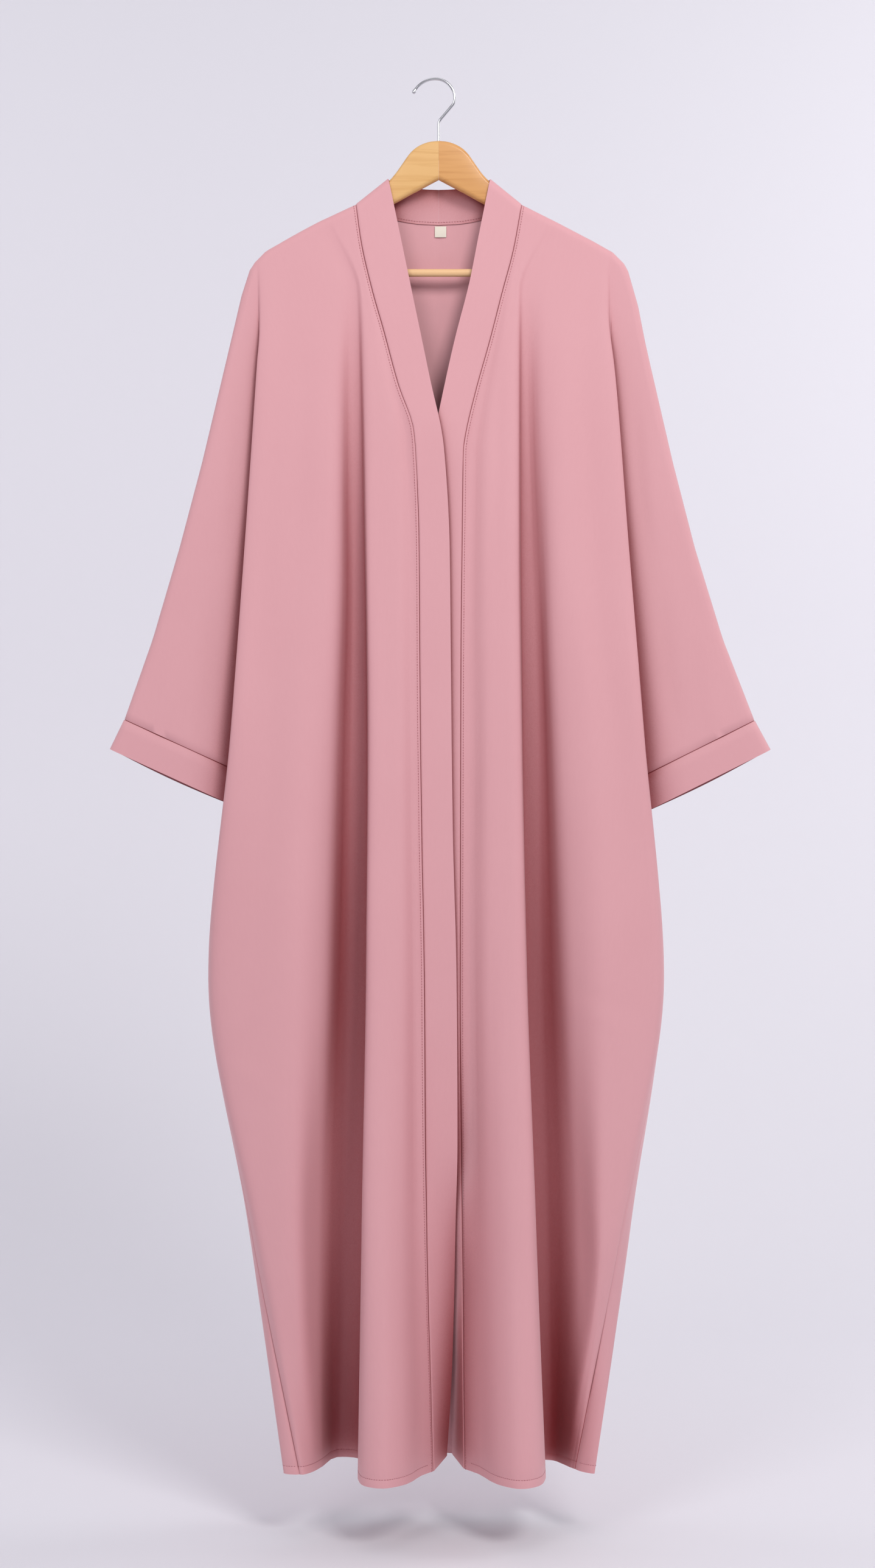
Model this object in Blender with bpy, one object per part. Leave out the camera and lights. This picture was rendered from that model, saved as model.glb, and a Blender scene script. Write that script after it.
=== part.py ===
"""Open-front abaya with cut-in-one sleeves, hanging on a wooden hanger.

The origin is the highest point inside the hook, where a rail carries it. +Z is up,
-Y is the front and +X is the wearer's left. Tables are in millimetres. "across" is
the distance from the centre line towards the side, "depth" is the place on Y.
"""
import math
from collections import namedtuple

import bmesh
import bpy
from mathutils import Vector

MM = 0.001

# Driving sizes of the cloth
CLOTH_WALL = 1.6
BAND_WALL = 2.0
CUFF_WALL = 2.0
SEAM_GAP = 0.4
ROLL = 7.8
UNDER_ROLL = 3.0
UNDER_HALF_DEPTH = 3.0
SLEEVE_SWELL = 60.0
CROTCH_LEAN = 0.6
HEM_HEIGHT = -1593.0
YOKE_BASE = -330.0
CUFF_HALF_DEPTH = 9.0
SLEEVE_HALF_DEPTH = (6.5, 9.5)
BACK_CUFF_DROP = 3.0

# Driving sizes of the hanger
WOOD_HALF = 6.0
WOOD_EDGE_RADIUS = 5.6
WIRE_RADIUS = 1.6
HOOK_BORE_RADIUS = 1.9
HOOK_END_HEIGHT = -91.7
HOOK_BORE_END = -92.0
BAR_RADIUS = 4.5
BAR_HEIGHT = -221.4
BAR_HALF_LENGTH = 198.2
BAR_POCKET_RADIUS = 4.8
BAR_POCKET = (160.0, 198.5)
JOINT_GAP = 0.3

# Colours of the materials
ROSE = (0.72, 0.41, 0.45, 1.0)
CREAM = (0.86, 0.80, 0.68, 1.0)
BEECH = (0.70, 0.42, 0.17, 1.0)
CHROME = (0.75, 0.75, 0.78, 1.0)

# Rows of the cloth from the shoulder to the hem. The first are shares of the way
# from the shoulder line to the base of the yoke, the others are heights.
YOKE_SHARES = (0.0, 0.005, 0.0185, 0.037, 0.062, 0.15, 0.275, 0.40, 0.53, 0.68, 0.85)
BODY_HEIGHTS = (YOKE_BASE, -368, -405, -425, -468, -515, -565, -620, -685, -750, -820,
                -890, -960, -1030, -1100, -1170, -1240, -1310, -1380, -1450, -1520,
                -1575, HEM_HEIGHT)
UNDERARM_ROW = 17
SLEEVE_HEIGHTS = (-625, -685, -745)
TABLE_HEIGHTS = (YOKE_BASE, -540, -750, -1030, -1310, HEM_HEIGHT)

# A fold line runs down the cloth. Its eight values are at the shoulder, half way down
# the yoke, and at the table heights.
FoldLine = namedtuple("FoldLine", "name across depth")

# A fold line near the band lies at a share of the way from the band to the crest.
ShareLine = namedtuple("ShareLine", "name share depth")

# The band is sewn to the front along its seam, and the other edge is free.
BandRow = namedtuple("BandRow", "height across depth free_across free_rise free_depth")

# The neck seam of the back, with the band's free edge above it. The share is the
# column's place between the centre and the side fold below the neck.
NeckRow = namedtuple("NeckRow", "share across height depth free_across free_height")

# The crease behind the front's side fold has a front and a sleeve edge.
CreaseRow = namedtuple("CreaseRow", "height across depth sleeve_across sleeve_depth")

Place = namedtuple("Place", "across height depth")

Side = namedtuple("Side", "name sign ridge near folds band crease side_seam under_seam "
                          "cuff_seam cuff_edge wrap")

RIGHT_NEAR = (
    ShareLine("valley by the band", 0.16, (-7.8, -11.5, -17, -26, -32, -38, -42, -45)),
    ShareLine("ridge by the band", 0.36, (-7.8, -12, -18, -29, -38, -50, -64, -84)),
    ShareLine("middle of the fold", 0.66, (-7.8, -12, -18, -29, -40, -56, -78, -103)),
    ShareLine("round of the fold", 0.90, (-7.8, -12, -17, -28, -40, -56, -77, -92)),
)
RIGHT_FOLDS = (
    FoldLine("crest", (126, 90, 86.4, 81.9, 78.8, 81.3, 86.0, 91.0),
             (-7.8, -11.5, -15, -25, -35, -50, -66, -58)),
    FoldLine("floor by the crest", (130, 94, 91, 86.0, 82.5, 79.5, 84.5, 93.0),
             (-7.8, -10.5, -12.5, -18, -20, -8, 8, 36)),
    FoldLine("valley", (136, 101, 100.5, 100.3, 103, 108, 114, 119),
             (-7.8, -9.5, -11, -14, -13, -4, 12, 42)),
    FoldLine("rise", (144, 113, 112, 114, 121, 127, 141, 134),
             (-7.8, -10.5, -13, -20, -28, -30, -22, -2)),
    FoldLine("flat", (162, 145, 140.5, 147, 153, 159, 161, 143),
             (-7.8, -11.5, -15.5, -26, -39, -52, -52, -25)),
    FoldLine("dip", (184, 180, 178.5, 195, 207, 215, 193.5, 150.5),
             (-7.8, -11, -14.5, -24, -36, -46, -50, -37)),
    FoldLine("front of the edge", (199, 197, 202, 215, 230, 256, 205, 154),
             (-7.8, -11.2, -15, -24, -37, -34, -46, -40)),
    FoldLine("edge", (203, 203.7, 207.8, 221.5, 236.5, 262.5, 209.5, 155.5),
             (-7.8, -10.3, -13, -21.5, -33, -20, -41, -40)),
    FoldLine("behind the edge", (205.5, 205.2, 205, 212, 226, 263.5, 212.5, 156.8),
             (-7.8, -9.2, -10.5, -14, -22, -9, -34, -39.5)),
)
RIGHT_CREASE = (
    CreaseRow(-208, 207.5, -7.8, 209.0, -7.8),
    CreaseRow(-262, 206.4, -7.4, 207.8, -6.9),
    CreaseRow(-330, 200.5, -7.6, 202.0, -4.8),
    CreaseRow(-440, 195.0, -6.2, 197.2, -4.6),
    CreaseRow(-515, 190.0, -4.1, 195.0, -4.0),
    CreaseRow(-565, 187.0, 0.0, 194.5, 0.0),
)
RIGHT_SIDE_SEAM = (
    Place(187.0, -565, 0.0),
    Place(200.0, -750, 0.0),
    Place(213.0, -890, 0.0),
    Place(263.0, -1030, -0.2),
    Place(215.3, -1310, -27.5),
    Place(157.7, HEM_HEIGHT, -39.0),
)
RIGHT_RIDGE = (
    (57.8, -113.9), (94.9, -143.4), (138.7, -163.8), (171.2, -181.3), (198.8, -197.6),
    (211.2, -210.0), (217.0, -219.0), (226.2, -247.6), (233.8, -280.0), (245.0, -327.4),
    (271.6, -439.4), (297.5, -537.4), (328.3, -642.4), (360.9, -735.2),
)
RIGHT_BAND = (
    BandRow(-143.4, 94.9, -7.8, 57.8, 29.5, -7.8),
    BandRow(-187.4, 88.9, -9.0, 46.7, 20.0, -9.0),
    BandRow(-242.7, 76.3, -11.5, 33.2, 10.0, -11.5),
    BandRow(-287.5, 63.6, -14.0, 22.7, 4.0, -14.5),
    BandRow(-352.6, 46.0, -19.0, 8.9, 2.0, -20.0),
    BandRow(-405.0, 28.5, -24.5, -3.1, 0.0, -26.5),
    BandRow(-425.0, 26.6, -25.5, -5.9, 0.0, -27.0),
    BandRow(-540.0, 22.2, -28.0, -12.5, 0.0, -28.5),
    BandRow(-678.0, 21.4, -31.0, -13.9, 0.0, -31.5),
    BandRow(-860.0, 19.3, -35.0, -16.0, 0.0, -35.0),
    BandRow(-1030.0, 16.3, -38.0, -20.2, 0.0, -37.0),
    BandRow(-1214.0, 15.1, -37.0, -21.3, 0.0, -36.0),
    BandRow(-1310.0, 13.8, -35.0, -18.9, 0.0, -20.0),
    BandRow(-1400.0, 12.0, -32.0, -17.0, 0.0, -10.5),
    BandRow(-1486.0, 9.4, -29.0, -14.3, 0.0, -2.0),
    BandRow(HEM_HEIGHT, 6.6, -25.0, -8.6, 10.0, 7.0),
)
RIGHT_WRAP = (
    FoldLine("behind the edge", (205.5, 205.2, 204, 210, 224, 263.6, 216.0, 164.5),
             (7.8, 9, 10, 13, 20, 6, -24, -40)),
    FoldLine("edge", (203, 203, 205.5, 218, 232, 262.8, 218.6, 175.8),
             (7.8, 10, 12.5, 20, 30, 16, -8, -34)),
    FoldLine("front of the edge", (199, 197, 200, 212, 226, 256, 212, 170),
             (7.8, 11, 14, 22, 34, 28, 12, -6)),
    FoldLine("side of the back", (184, 180, 178, 192, 203, 226, 190, 150),
             (7.8, 10.5, 13.5, 21, 31, 36, 32, 28)),
)

LEFT_NEAR = (
    ShareLine("valley by the band", 0.18, (-7.8, -11, -14, -21, -27, -33, -33, -38)),
    ShareLine("ridge by the band", 0.40, (-7.8, -12, -17, -27, -35, -48, -62, -84)),
    ShareLine("middle of the fold", 0.68, (-7.8, -12, -18, -28, -38, -54, -78, -105)),
    ShareLine("round of the fold", 0.90, (-7.8, -12, -17, -27, -38, -54, -77, -92)),
)
LEFT_FOLDS = (
    FoldLine("crest", (128, 92, 91.3, 91.0, 93.5, 99.2, 108.8, 120.4),
             (-7.8, -11.5, -15, -24, -34, -48, -66, -56)),
    FoldLine("floor by the crest", (132, 96, 95.5, 95.5, 97, 97.5, 107.0, 121.5),
             (-7.8, -10.5, -12, -17, -18, -8, 8, 28)),
    FoldLine("valley", (138, 104, 103.3, 109.3, 117.8, 121.6, 129.3, 133),
             (-7.8, -9.5, -10.5, -13, -12, -4, 12, 26)),
    FoldLine("rise", (146, 119, 118, 124.5, 134.5, 148, 162.7, 143),
             (-7.8, -10.5, -13, -19, -26, -30, -22, 10)),
    FoldLine("flat", (164, 148, 142, 145, 169, 182, 182, 148),
             (-7.8, -11.5, -15.5, -25, -38, -50, -50, 0)),
    FoldLine("dip", (178, 172, 166.8, 180, 200, 213, 194.5, 151.5),
             (-7.8, -11, -14.5, -24, -36, -46, -49, -7)),
    FoldLine("front of the edge", (187, 186.5, 194.5, 210.5, 227, 250, 200, 153.2),
             (-7.8, -11.2, -15, -24, -37, -34, -47.5, -9.5)),
    FoldLine("edge", (191, 192.7, 200.7, 216.9, 233.3, 256, 203, 154.2),
             (-7.8, -10.3, -13, -21.5, -33, -24, -46, -11.5)),
    FoldLine("behind the edge", (194, 194.6, 199, 208, 223, 257.4, 206, 155.0),
             (-7.8, -9.2, -10.5, -14, -22, -15, -44, -13)),
)
LEFT_CREASE = (
    CreaseRow(-208, 196.5, -7.8, 198.5, -7.8),
    CreaseRow(-262, 196.2, -7.4, 197.8, -6.9),
    CreaseRow(-330, 195.5, -7.6, 197.2, -4.8),
    CreaseRow(-440, 191.0, -6.2, 193.2, -4.6),
    CreaseRow(-515, 186.0, -4.1, 191.0, -4.0),
    CreaseRow(-565, 183.0, 0.0, 190.5, 0.0),
)
LEFT_SIDE_SEAM = (
    Place(183.0, -565, 0.0),
    Place(197.0, -750, 0.0),
    Place(211.0, -890, 0.0),
    Place(257.3, -1030, -6.0),
    Place(208.8, -1310, -41.0),
    Place(156.0, HEM_HEIGHT, -14.5),
)
LEFT_RIDGE = (
    (59.0, -114.4), (95.2, -143.7), (135.1, -163.6), (177.8, -186.0), (200.2, -198.6),
    (212.8, -211.2), (217.5, -220.0), (228.9, -259.9), (236.6, -299.4), (242.9, -327.4),
    (268.8, -439.4), (294.0, -537.4), (326.2, -642.4), (362.6, -736.2),
)
LEFT_BAND = (
    BandRow(-143.7, 95.2, -7.8, 59.0, 29.3, -7.8),
    BandRow(-197.2, 85.4, -9.5, 46.0, 18.0, -9.5),
    BandRow(-244.8, 72.8, -11.5, 34.8, 9.0, -11.5),
    BandRow(-302.2, 58.1, -14.0, 18.8, 4.0, -14.0),
    BandRow(-357.5, 42.7, -17.0, 6.0, 2.0, -18.0),
    BandRow(-407.9, 30.8, -20.0, -4.5, 0.0, -21.5),
    BandRow(-424.7, 28.2, -21.0, -7.0, 0.0, -21.8),
    BandRow(-482.8, 27.2, -22.0, -8.5, 0.0, -22.2),
    BandRow(-677.4, 25.2, -26.0, -10.3, 0.0, -26.0),
    BandRow(-860.0, 24.6, -30.0, -11.0, 0.0, -30.0),
    BandRow(-1063.0, 24.2, -33.0, -11.5, 0.0, -32.0),
    BandRow(-1214.0, 25.5, -27.0, -9.0, 0.0, -22.0),
    BandRow(-1310.0, 27.0, -19.0, -4.5, 0.0, -2.0),
    BandRow(-1400.0, 28.2, -12.0, 1.2, 0.0, 12.0),
    BandRow(-1486.0, 28.5, -12.0, 12.6, 0.0, 20.0),
    BandRow(HEM_HEIGHT, 29.8, -14.0, 16.6, 9.0, 19.0),
)
LEFT_WRAP = (
    FoldLine("behind the edge", (194, 194.6, 198, 206, 221, 257.4, 213, 163),
             (7.8, 9, 10, 13, 20, 5, -34, -26)),
    FoldLine("edge", (191, 191, 199.5, 214, 229, 256, 219.8, 176.6),
             (7.8, 10, 12.5, 20, 30, 16, -16, -36)),
    FoldLine("front of the edge", (187, 186, 193, 208, 223, 249, 215, 172),
             (7.8, 11, 14, 22, 34, 28, 8, -8)),
    FoldLine("side of the back", (178, 172, 170, 188, 200, 220, 192, 152),
             (7.8, 10.5, 13.5, 21, 31, 36, 32, 28)),
)

SIDES = (
    Side("right", -1, RIGHT_RIDGE, RIGHT_NEAR, RIGHT_FOLDS, RIGHT_BAND, RIGHT_CREASE,
         RIGHT_SIDE_SEAM, ((194.5, -565), (202.0, -640), (210.0, -720), (216.3, -801.3)),
         ((360.9, -735.2), (216.3, -801.3)), ((377.3, -769.1), (232.1, -835.6)), RIGHT_WRAP),
    Side("left", 1, LEFT_RIDGE, LEFT_NEAR, LEFT_FOLDS, LEFT_BAND, LEFT_CREASE,
         LEFT_SIDE_SEAM, ((190.5, -565), (199.0, -640), (207.5, -720), (213.9, -810.4)),
         ((362.6, -736.2), (213.9, -810.4)), ((380.8, -769.8), (230.7, -844.4)), LEFT_WRAP),
)

# The columns of the back between the side folds
BACK_SHARES = (
    ShareLine("outer slope", 0.85, (7.8, 11, 15, 24, 33, 42, 43, 46)),
    ShareLine("side crest", 0.70, (7.8, 12, 17, 27, 37, 48, 58, 68)),
    ShareLine("neck corner", 0.525, (8.2, 13, 19, 27, 35, 42, 50, 56)),
    ShareLine("behind the corner", 0.50, (8.2, 13, 19, 27, 34, 41, 49, 55)),
    ShareLine("inside the corner", 0.47, (8.2, 13.5, 19, 26.5, 33.5, 40, 48, 53)),
    ShareLine("hollow", 0.35, (13.5, 18, 21, 26, 32, 37, 43, 48)),
    ShareLine("inner slope", 0.175, (19.5, 22, 24, 29, 36, 43, 50, 57)),
    ShareLine("centre crest", 0.0, (22, 24, 26, 31, 39, 48, 58, 67)),
)
SHOULDER_TOPS = {0.85: 156.0, 0.70: 128.0}
NECK = (
    NeckRow(0.525, 94.9, -143.4, 8.2, 57.8, -113.9),
    NeckRow(0.50, 93.2, -144.8, 8.2, 56.2, -115.0),
    NeckRow(0.47, 89.0, -147.4, 8.2, 52.8, -116.8),
    NeckRow(0.35, 56.0, -157.0, 13.5, 34.0, -120.2),
    NeckRow(0.175, 28.0, -161.3, 19.5, 17.0, -121.3),
    NeckRow(0.0, 0.0, -162.5, 22.0, 0.0, -121.5),
)

# The wood's bare middle: distance from the centre, top and underside
WOOD_MIDDLE = (
    (0.15, -69.7, -114.7), (12, -71.2, -121.0), (24, -76.2, -127.5), (32.6, -83.4, -132.0),
    (42.4, -97.0, -137.5), (50, -107.6, -141.5),
)
# The wood under the cloth: distance, underside and share of the full thickness. Its top
# keeps clear of the shoulder line.
WOOD_ARM = (
    (59.2, -146.5, 1.0), (76, -159.5, 1.0), (94.9, -173.0, 1.0), (116.8, -186.5, 1.0),
    (138.7, -198.0, 1.0), (155, -207.5, 1.0), (171.2, -216.5, 1.0), (185, -226.0, 1.0),
    (198.5, -231.5, 1.0), (206, -232.5, 0.85), (210.0, -231.0, 0.6), (212.2, -228.5, 0.35),
)
WOOD_CLEARANCE = 2.3
WOOD_CORNER_POINTS = 4

# The hook from its tip: each bend turns by degrees at a radius, or runs straight
HookBend = namedtuple("HookBend", "turn radius length steps")
HOOK_TIP = (-28.7, -13.8)
HOOK_TIP_HEADING = 63.3
HOOK_BENDS = (
    HookBend(-63.3, 28.0, 0.0, 9),
    HookBend(-90.0, 22.0, 0.0, 14),
    HookBend(-40.0, 14.0, 0.0, 6),
    HookBend(0.0, 0.0, 20.1, 2),
    HookBend(40.0, 9.0, 0.0, 5),
)
HOOK_SIDES = 10
HOOK_TIP_BULB = ((-1.6, 0.9), (-0.9, 1.9), (0.3, 2.3), (1.7, 2.1), (2.9, 1.7))

# The woven label at the centre back of the neck
LABEL_LEFT = -4.4
LABEL_RIGHT = 8.7
LABEL_TOP = -164.0
LABEL_BOTTOM = -176.5
LABEL_WALL = 1.0


def clear_scene():
    """Remove every object of the open file."""
    for item in list(bpy.data.objects):
        bpy.data.objects.remove(item, do_unlink=True)


def slopes_of(knots, values):
    """Slopes of a smooth curve that never overshoots its values."""
    spans = [b - a for a, b in zip(knots, knots[1:])]
    rates = [(d - c) / span for c, d, span in zip(values, values[1:], spans)]
    slopes = [rates[0]]
    for i in range(1, len(rates)):
        before, after = rates[i - 1], rates[i]
        if before * after <= 0:
            slopes.append(0.0)
        else:
            first = 2 * spans[i] + spans[i - 1]
            second = spans[i] + 2 * spans[i - 1]
            slopes.append((first + second) / (first / before + second / after))
    return slopes + [rates[-1]]


def flow(knots, values, at):
    """Read the smooth curve through falling knots at one place."""
    if at >= knots[0]:
        return values[0]
    if at <= knots[-1]:
        return values[-1]
    i = next(k for k in range(len(knots) - 1) if at >= knots[k + 1])
    slopes = slopes_of(knots, values)
    span = knots[i + 1] - knots[i]
    t = (at - knots[i]) / span
    return ((2 * t ** 3 - 3 * t ** 2 + 1) * values[i] + (t ** 3 - 2 * t ** 2 + t) * span * slopes[i]
            + (3 * t ** 2 - 2 * t ** 3) * values[i + 1] + (t ** 3 - t ** 2) * span * slopes[i + 1])


def mix(a, b, share):
    """Value between two numbers."""
    return a + (b - a) * share


def distance_to_line(point, line):
    """Shortest distance in the front plane from a point to a broken line."""
    best = 1e9
    for (x0, z0), (x1, z1) in zip(line, line[1:]):
        dx, dz = x1 - x0, z1 - z0
        t = ((point[0] - x0) * dx + (point[1] - z0) * dz) / (dx * dx + dz * dz)
        t = min(1.0, max(0.0, t))
        best = min(best, math.hypot(point[0] - x0 - t * dx, point[1] - z0 - t * dz))
    return best


def roll_share(distance, radius=ROLL):
    """How far out the cloth has come at a distance from the ridge it rolls over."""
    reach = min(1.0, distance / radius)
    return math.sqrt(1.0 - (1.0 - reach) ** 2)


def ridge_height(ridge, across):
    """Height of the shoulder line above a distance from the centre."""
    for (x0, z0), (x1, z1) in zip(ridge, ridge[1:]):
        if x0 <= across <= x1:
            return mix(z0, z1, (across - x0) / (x1 - x0))
    return ridge[0][1]


def row_height(row, top):
    """Height of a row in a column that starts at a given top."""
    if row < len(YOKE_SHARES):
        return mix(top, YOKE_BASE, YOKE_SHARES[row])
    return BODY_HEIGHTS[row - len(YOKE_SHARES)]


def table_knots(top):
    """Heights of a fold line's eight values."""
    return (top, mix(top, YOKE_BASE, 0.5)) + TABLE_HEIGHTS


BODY_ROWS = len(YOKE_SHARES) + len(BODY_HEIGHTS)
SLEEVE_ROWS = UNDERARM_ROW + 1 + len(SLEEVE_HEIGHTS) + 1


def rolled(side, across, height, depth):
    """Place on a layer of cloth, drawn in where it rolls over the shoulder or sleeve edge."""
    share = roll_share(distance_to_line((across, height), side.ridge))
    return Place(across, height, depth * share)


def band_place(side, height):
    """Seam and free edge of the band at the height of its seam."""
    knots = [row.height for row in side.band]
    values = [flow(knots, [row[k] for row in side.band], height) for k in range(1, 6)]
    across, depth, free_across, free_rise, free_depth = values
    seam = rolled(side, across, height, depth)
    free = rolled(side, free_across, height + free_rise, free_depth)
    return seam, free


def fold_place(side, line, row, top):
    """Point of a fold line on one row."""
    height = row_height(row, top)
    knots = table_knots(top)
    return rolled(side, flow(knots, line.across, height), height, flow(knots, line.depth, height))


def front_body_row(side, row):
    """Points of the front from the band's seam to the edge behind the side fold."""
    seam_top = side.band[0].height
    seam = band_place(side, row_height(row, seam_top))[0]
    tops = [ridge_height(side.ridge, line.across[0]) for line in side.folds]
    folds = [fold_place(side, line, row, top) for line, top in zip(side.folds, tops)]
    near = []
    for line in side.near:
        top = mix(seam_top, tops[0], line.share)
        if row == 0:
            top_across = mix(seam.across, folds[0].across, line.share)
            near.append(Place(top_across, ridge_height(side.ridge, top_across), 0.0))
            continue
        height = mix(seam.height, folds[0].height, line.share)
        depth = flow(table_knots(top), line.depth, height)
        near.append(rolled(side, mix(seam.across, folds[0].across, line.share), height, depth))
    return [seam] + near + folds


def crease_place(side, row):
    """Front edge of the crease above the underarm, its sleeve edge, and the depth it rolls from."""
    crease = side.crease
    top = ridge_height(side.ridge, crease[0].across)
    knots = [top] + [entry.height for entry in crease[1:]]
    height = row_height(row, top)
    values = [flow(knots, [entry[k] for entry in crease], height) for k in range(1, 5)]
    sleeve_top = ridge_height(side.ridge, crease[0].sleeve_across)
    sleeve_height = row_height(row, sleeve_top)
    return (rolled(side, values[0], height, values[1]),
            rolled(side, values[2], sleeve_height, values[3]), -values[3])


def side_seam_place(side, row):
    """The seam between front and back below the underarm."""
    height = row_height(row, 0.0)
    knots = [place.height for place in side.side_seam]
    return Place(flow(knots, [p.across for p in side.side_seam], height), height,
                 flow(knots, [p.depth for p in side.side_seam], height))


def sleeve_row(side, row, facing):
    """Points of one sleeve layer from its inner to its outer edge; facing is -1 in front."""
    last = SLEEVE_ROWS - 1
    above = row <= UNDERARM_ROW
    first_height = crease_place(side, 0)[1].height
    inner_depth = 0.0
    if above:
        inner, inner_depth = crease_place(side, row)[1:]
    elif row == last:
        inner = Place(side.cuff_seam[1][0], side.cuff_seam[1][1], 0.0)
    else:
        height = SLEEVE_HEIGHTS[row - UNDERARM_ROW - 1]
        knots = [p[1] for p in side.under_seam]
        inner = Place(flow(knots, [p[0] for p in side.under_seam], height), height, 0.0)
    corner = side.ridge[6]
    end = side.ridge[-1]
    done = (inner.height - first_height) / (side.cuff_seam[1][1] - first_height)
    outer_height = mix(corner[1], end[1], done)
    line = side.ridge[6:]
    outer_across = next(mix(a[0], b[0], (outer_height - a[1]) / (b[1] - a[1]))
                        for a, b in zip(line, line[1:]) if outer_height >= b[1] - 1e-6)
    chord = math.hypot(outer_across - inner.across, outer_height - inner.height)
    roll_in = min(UNDER_ROLL, 0.15 * chord) / chord
    roll_out = min(ROLL, 0.45 * chord) / chord
    shares = (roll_in * 0.29, roll_in, mix(roll_in, 1 - roll_out, 0.33),
              mix(roll_in, 1 - roll_out, 0.67), 1 - roll_out, 1 - roll_out * 0.29)
    half = mix(SLEEVE_HALF_DEPTH[0], SLEEVE_HALF_DEPTH[1], done)
    places = [Place(inner.across, inner.height, inner.depth if facing < 0 else -inner.depth)]
    for share in shares:
        across = mix(inner.across, outer_across, share)
        height = mix(inner.height, outer_height, share)
        ease = min(1.0, share * chord / SLEEVE_SWELL)
        swelling = ease * ease * (3 - 2 * ease)
        start = UNDER_HALF_DEPTH * roll_share(share * chord, UNDER_ROLL)
        depth = mix(max(start, inner_depth), half, swelling)
        if row == 0:
            places.append(Place(across, ridge_height(side.ridge, across), 0.0))
        else:
            places.append(rolled(side, across, height, facing * depth))
    places.append(Place(outer_across, outer_height, 0.0))
    return places


def back_body_row(side, row):
    """Points of the back from the side fold's hidden edge to the centre."""
    places = []
    for line in side.wrap:
        top = ridge_height(side.ridge, line.across[0])
        places.append(fold_place(side, line, row, top))
    for line in BACK_SHARES:
        neck = next((entry for entry in NECK if entry.share == line.share), None)
        if neck:
            top_across, top = neck.across, neck.height
        else:
            top_across = SHOULDER_TOPS[line.share]
            top = ridge_height(side.ridge, top_across)
        height = row_height(row, top)
        knots = table_knots(top)
        reach = side.wrap[-1].across
        across = (top_across,) + tuple(line.share * value for value in reach[1:])
        places.append(rolled(side, flow(knots, across, height), height,
                             flow(knots, line.depth, height)))
    return places


def to_vector(side, place):
    """Place of a side in the part's own frame, in millimetres."""
    return Vector((side.sign * place.across, place.depth, place.height))


def band_direction(side, row):
    """Direction from the band's seam to its free edge at one row of the front."""
    seam, free = band_place(side, row_height(row, side.band[0].height))
    return (to_vector(side, free) - to_vector(side, seam)).normalized()


def neck_direction(side, neck):
    """The same direction at one place of the back's neck seam."""
    seam = rolled(side, neck.across, neck.height, neck.depth)
    free = rolled(side, neck.free_across, neck.free_height, neck.depth)
    return (to_vector(side, free) - to_vector(side, seam)).normalized()


def cuff_direction(side):
    """Direction along the sleeve, from the seam of the cuff towards its open edge."""
    seam, edge = side.cuff_seam[0], side.cuff_edge[0]
    return Vector((side.sign * (edge[0] - seam[0]), 0.0, edge[1] - seam[1])).normalized()


def side_seam_frame(side, row):
    """Direction across the side seam, from the front to the back, and the seam's normal."""
    front = front_body_row(side, row)[-1]
    back = back_body_row(side, row)[0]
    across = (to_vector(side, back) - to_vector(side, front)).normalized()
    if row == UNDERARM_ROW:
        return across, Vector((side.sign * CROTCH_LEAN, 0, -1))
    above = side_seam_place(side, row - 1)
    below = side_seam_place(side, min(row + 1, BODY_ROWS - 1))
    return across, across.cross(to_vector(side, above) - to_vector(side, below))


def halves(face, points):
    """Split a quad along its shorter diagonal."""
    a, b, c, d = face
    if (points[a] - points[c]).length <= (points[b] - points[d]).length:
        return [[a, b, c], [a, c, d]]
    return [[a, b, d], [b, c, d]]


class Sheet:
    """A surface of quads that is given a wall, with square rims along its seams."""

    def __init__(self):
        self.keys = {}
        self.points = []
        self.faces = []
        self.rims = {}
        self.set_normals = {}

    def put(self, key, point):
        """Add a point under a key, in millimetres."""
        self.keys[key] = len(self.points)
        self.points.append(point)

    def cell(self, *keys):
        """Add a quad between four points."""
        self.faces.append([self.keys[key] for key in keys])

    def rim(self, key, direction, normal=None):
        """Hold a point back from a seam that it faces in a direction, and set its normal."""
        self.rims.setdefault(self.keys[key], []).append(direction)
        if normal:
            self.set_normals[self.keys[key]] = normal

    def normals(self):
        """Normals averaged by the angle of each corner, square to the seams at the rims."""
        sums = [Vector((0, 0, 0)) for _ in self.points]
        for face in self.faces:
            for before, i, after in zip(face[-1:] + face[:-1], face, face[1:] + face[:1]):
                ahead = (self.points[after] - self.points[i]).normalized()
                behind = (self.points[before] - self.points[i]).normalized()
                sums[i] += ahead.cross(behind).normalized() * ahead.angle(behind, 0.0)
        for i, directions in self.rims.items():
            for direction in directions:
                sums[i] -= direction * sums[i].dot(direction)
        for i, normal in self.set_normals.items():
            sums[i] = normal if normal.dot(sums[i]) > 0 else -normal
        return [item.normalized() for item in sums]

    def solid(self, name, wall, colour, roughness, metallic=0.0):
        """Turn the surface into a named closed wall."""
        normals = self.normals()
        places = list(self.points)
        for i, directions in self.rims.items():
            for direction in directions:
                places[i] = places[i] - direction * (SEAM_GAP / 2)
        count = len(places)
        verts = [(p + n * wall / 2) * MM for p, n in zip(places, normals)]
        verts += [(p - n * wall / 2) * MM for p, n in zip(places, normals)]
        faces = [half for face in self.faces for half in halves(face, places)]
        faces += [[i + count for i in reversed(face)] for face in faces]
        edges = {(a, b) for face in self.faces for a, b in zip(face, face[1:] + face[:1])}
        for a, b in sorted(edges):
            if (b, a) not in edges:
                faces += halves([b, a, a + count, b + count], verts)
        return make_object(name, verts, faces, colour, roughness, metallic)


def material(name, colour, roughness, metallic):
    """Principled material with one colour."""
    made = bpy.data.materials.new(name)
    made.use_nodes = True
    shader = made.node_tree.nodes["Principled BSDF"]
    shader.inputs["Base Color"].default_value = colour
    shader.inputs["Roughness"].default_value = roughness
    shader.inputs["Metallic"].default_value = metallic
    return made


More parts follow.
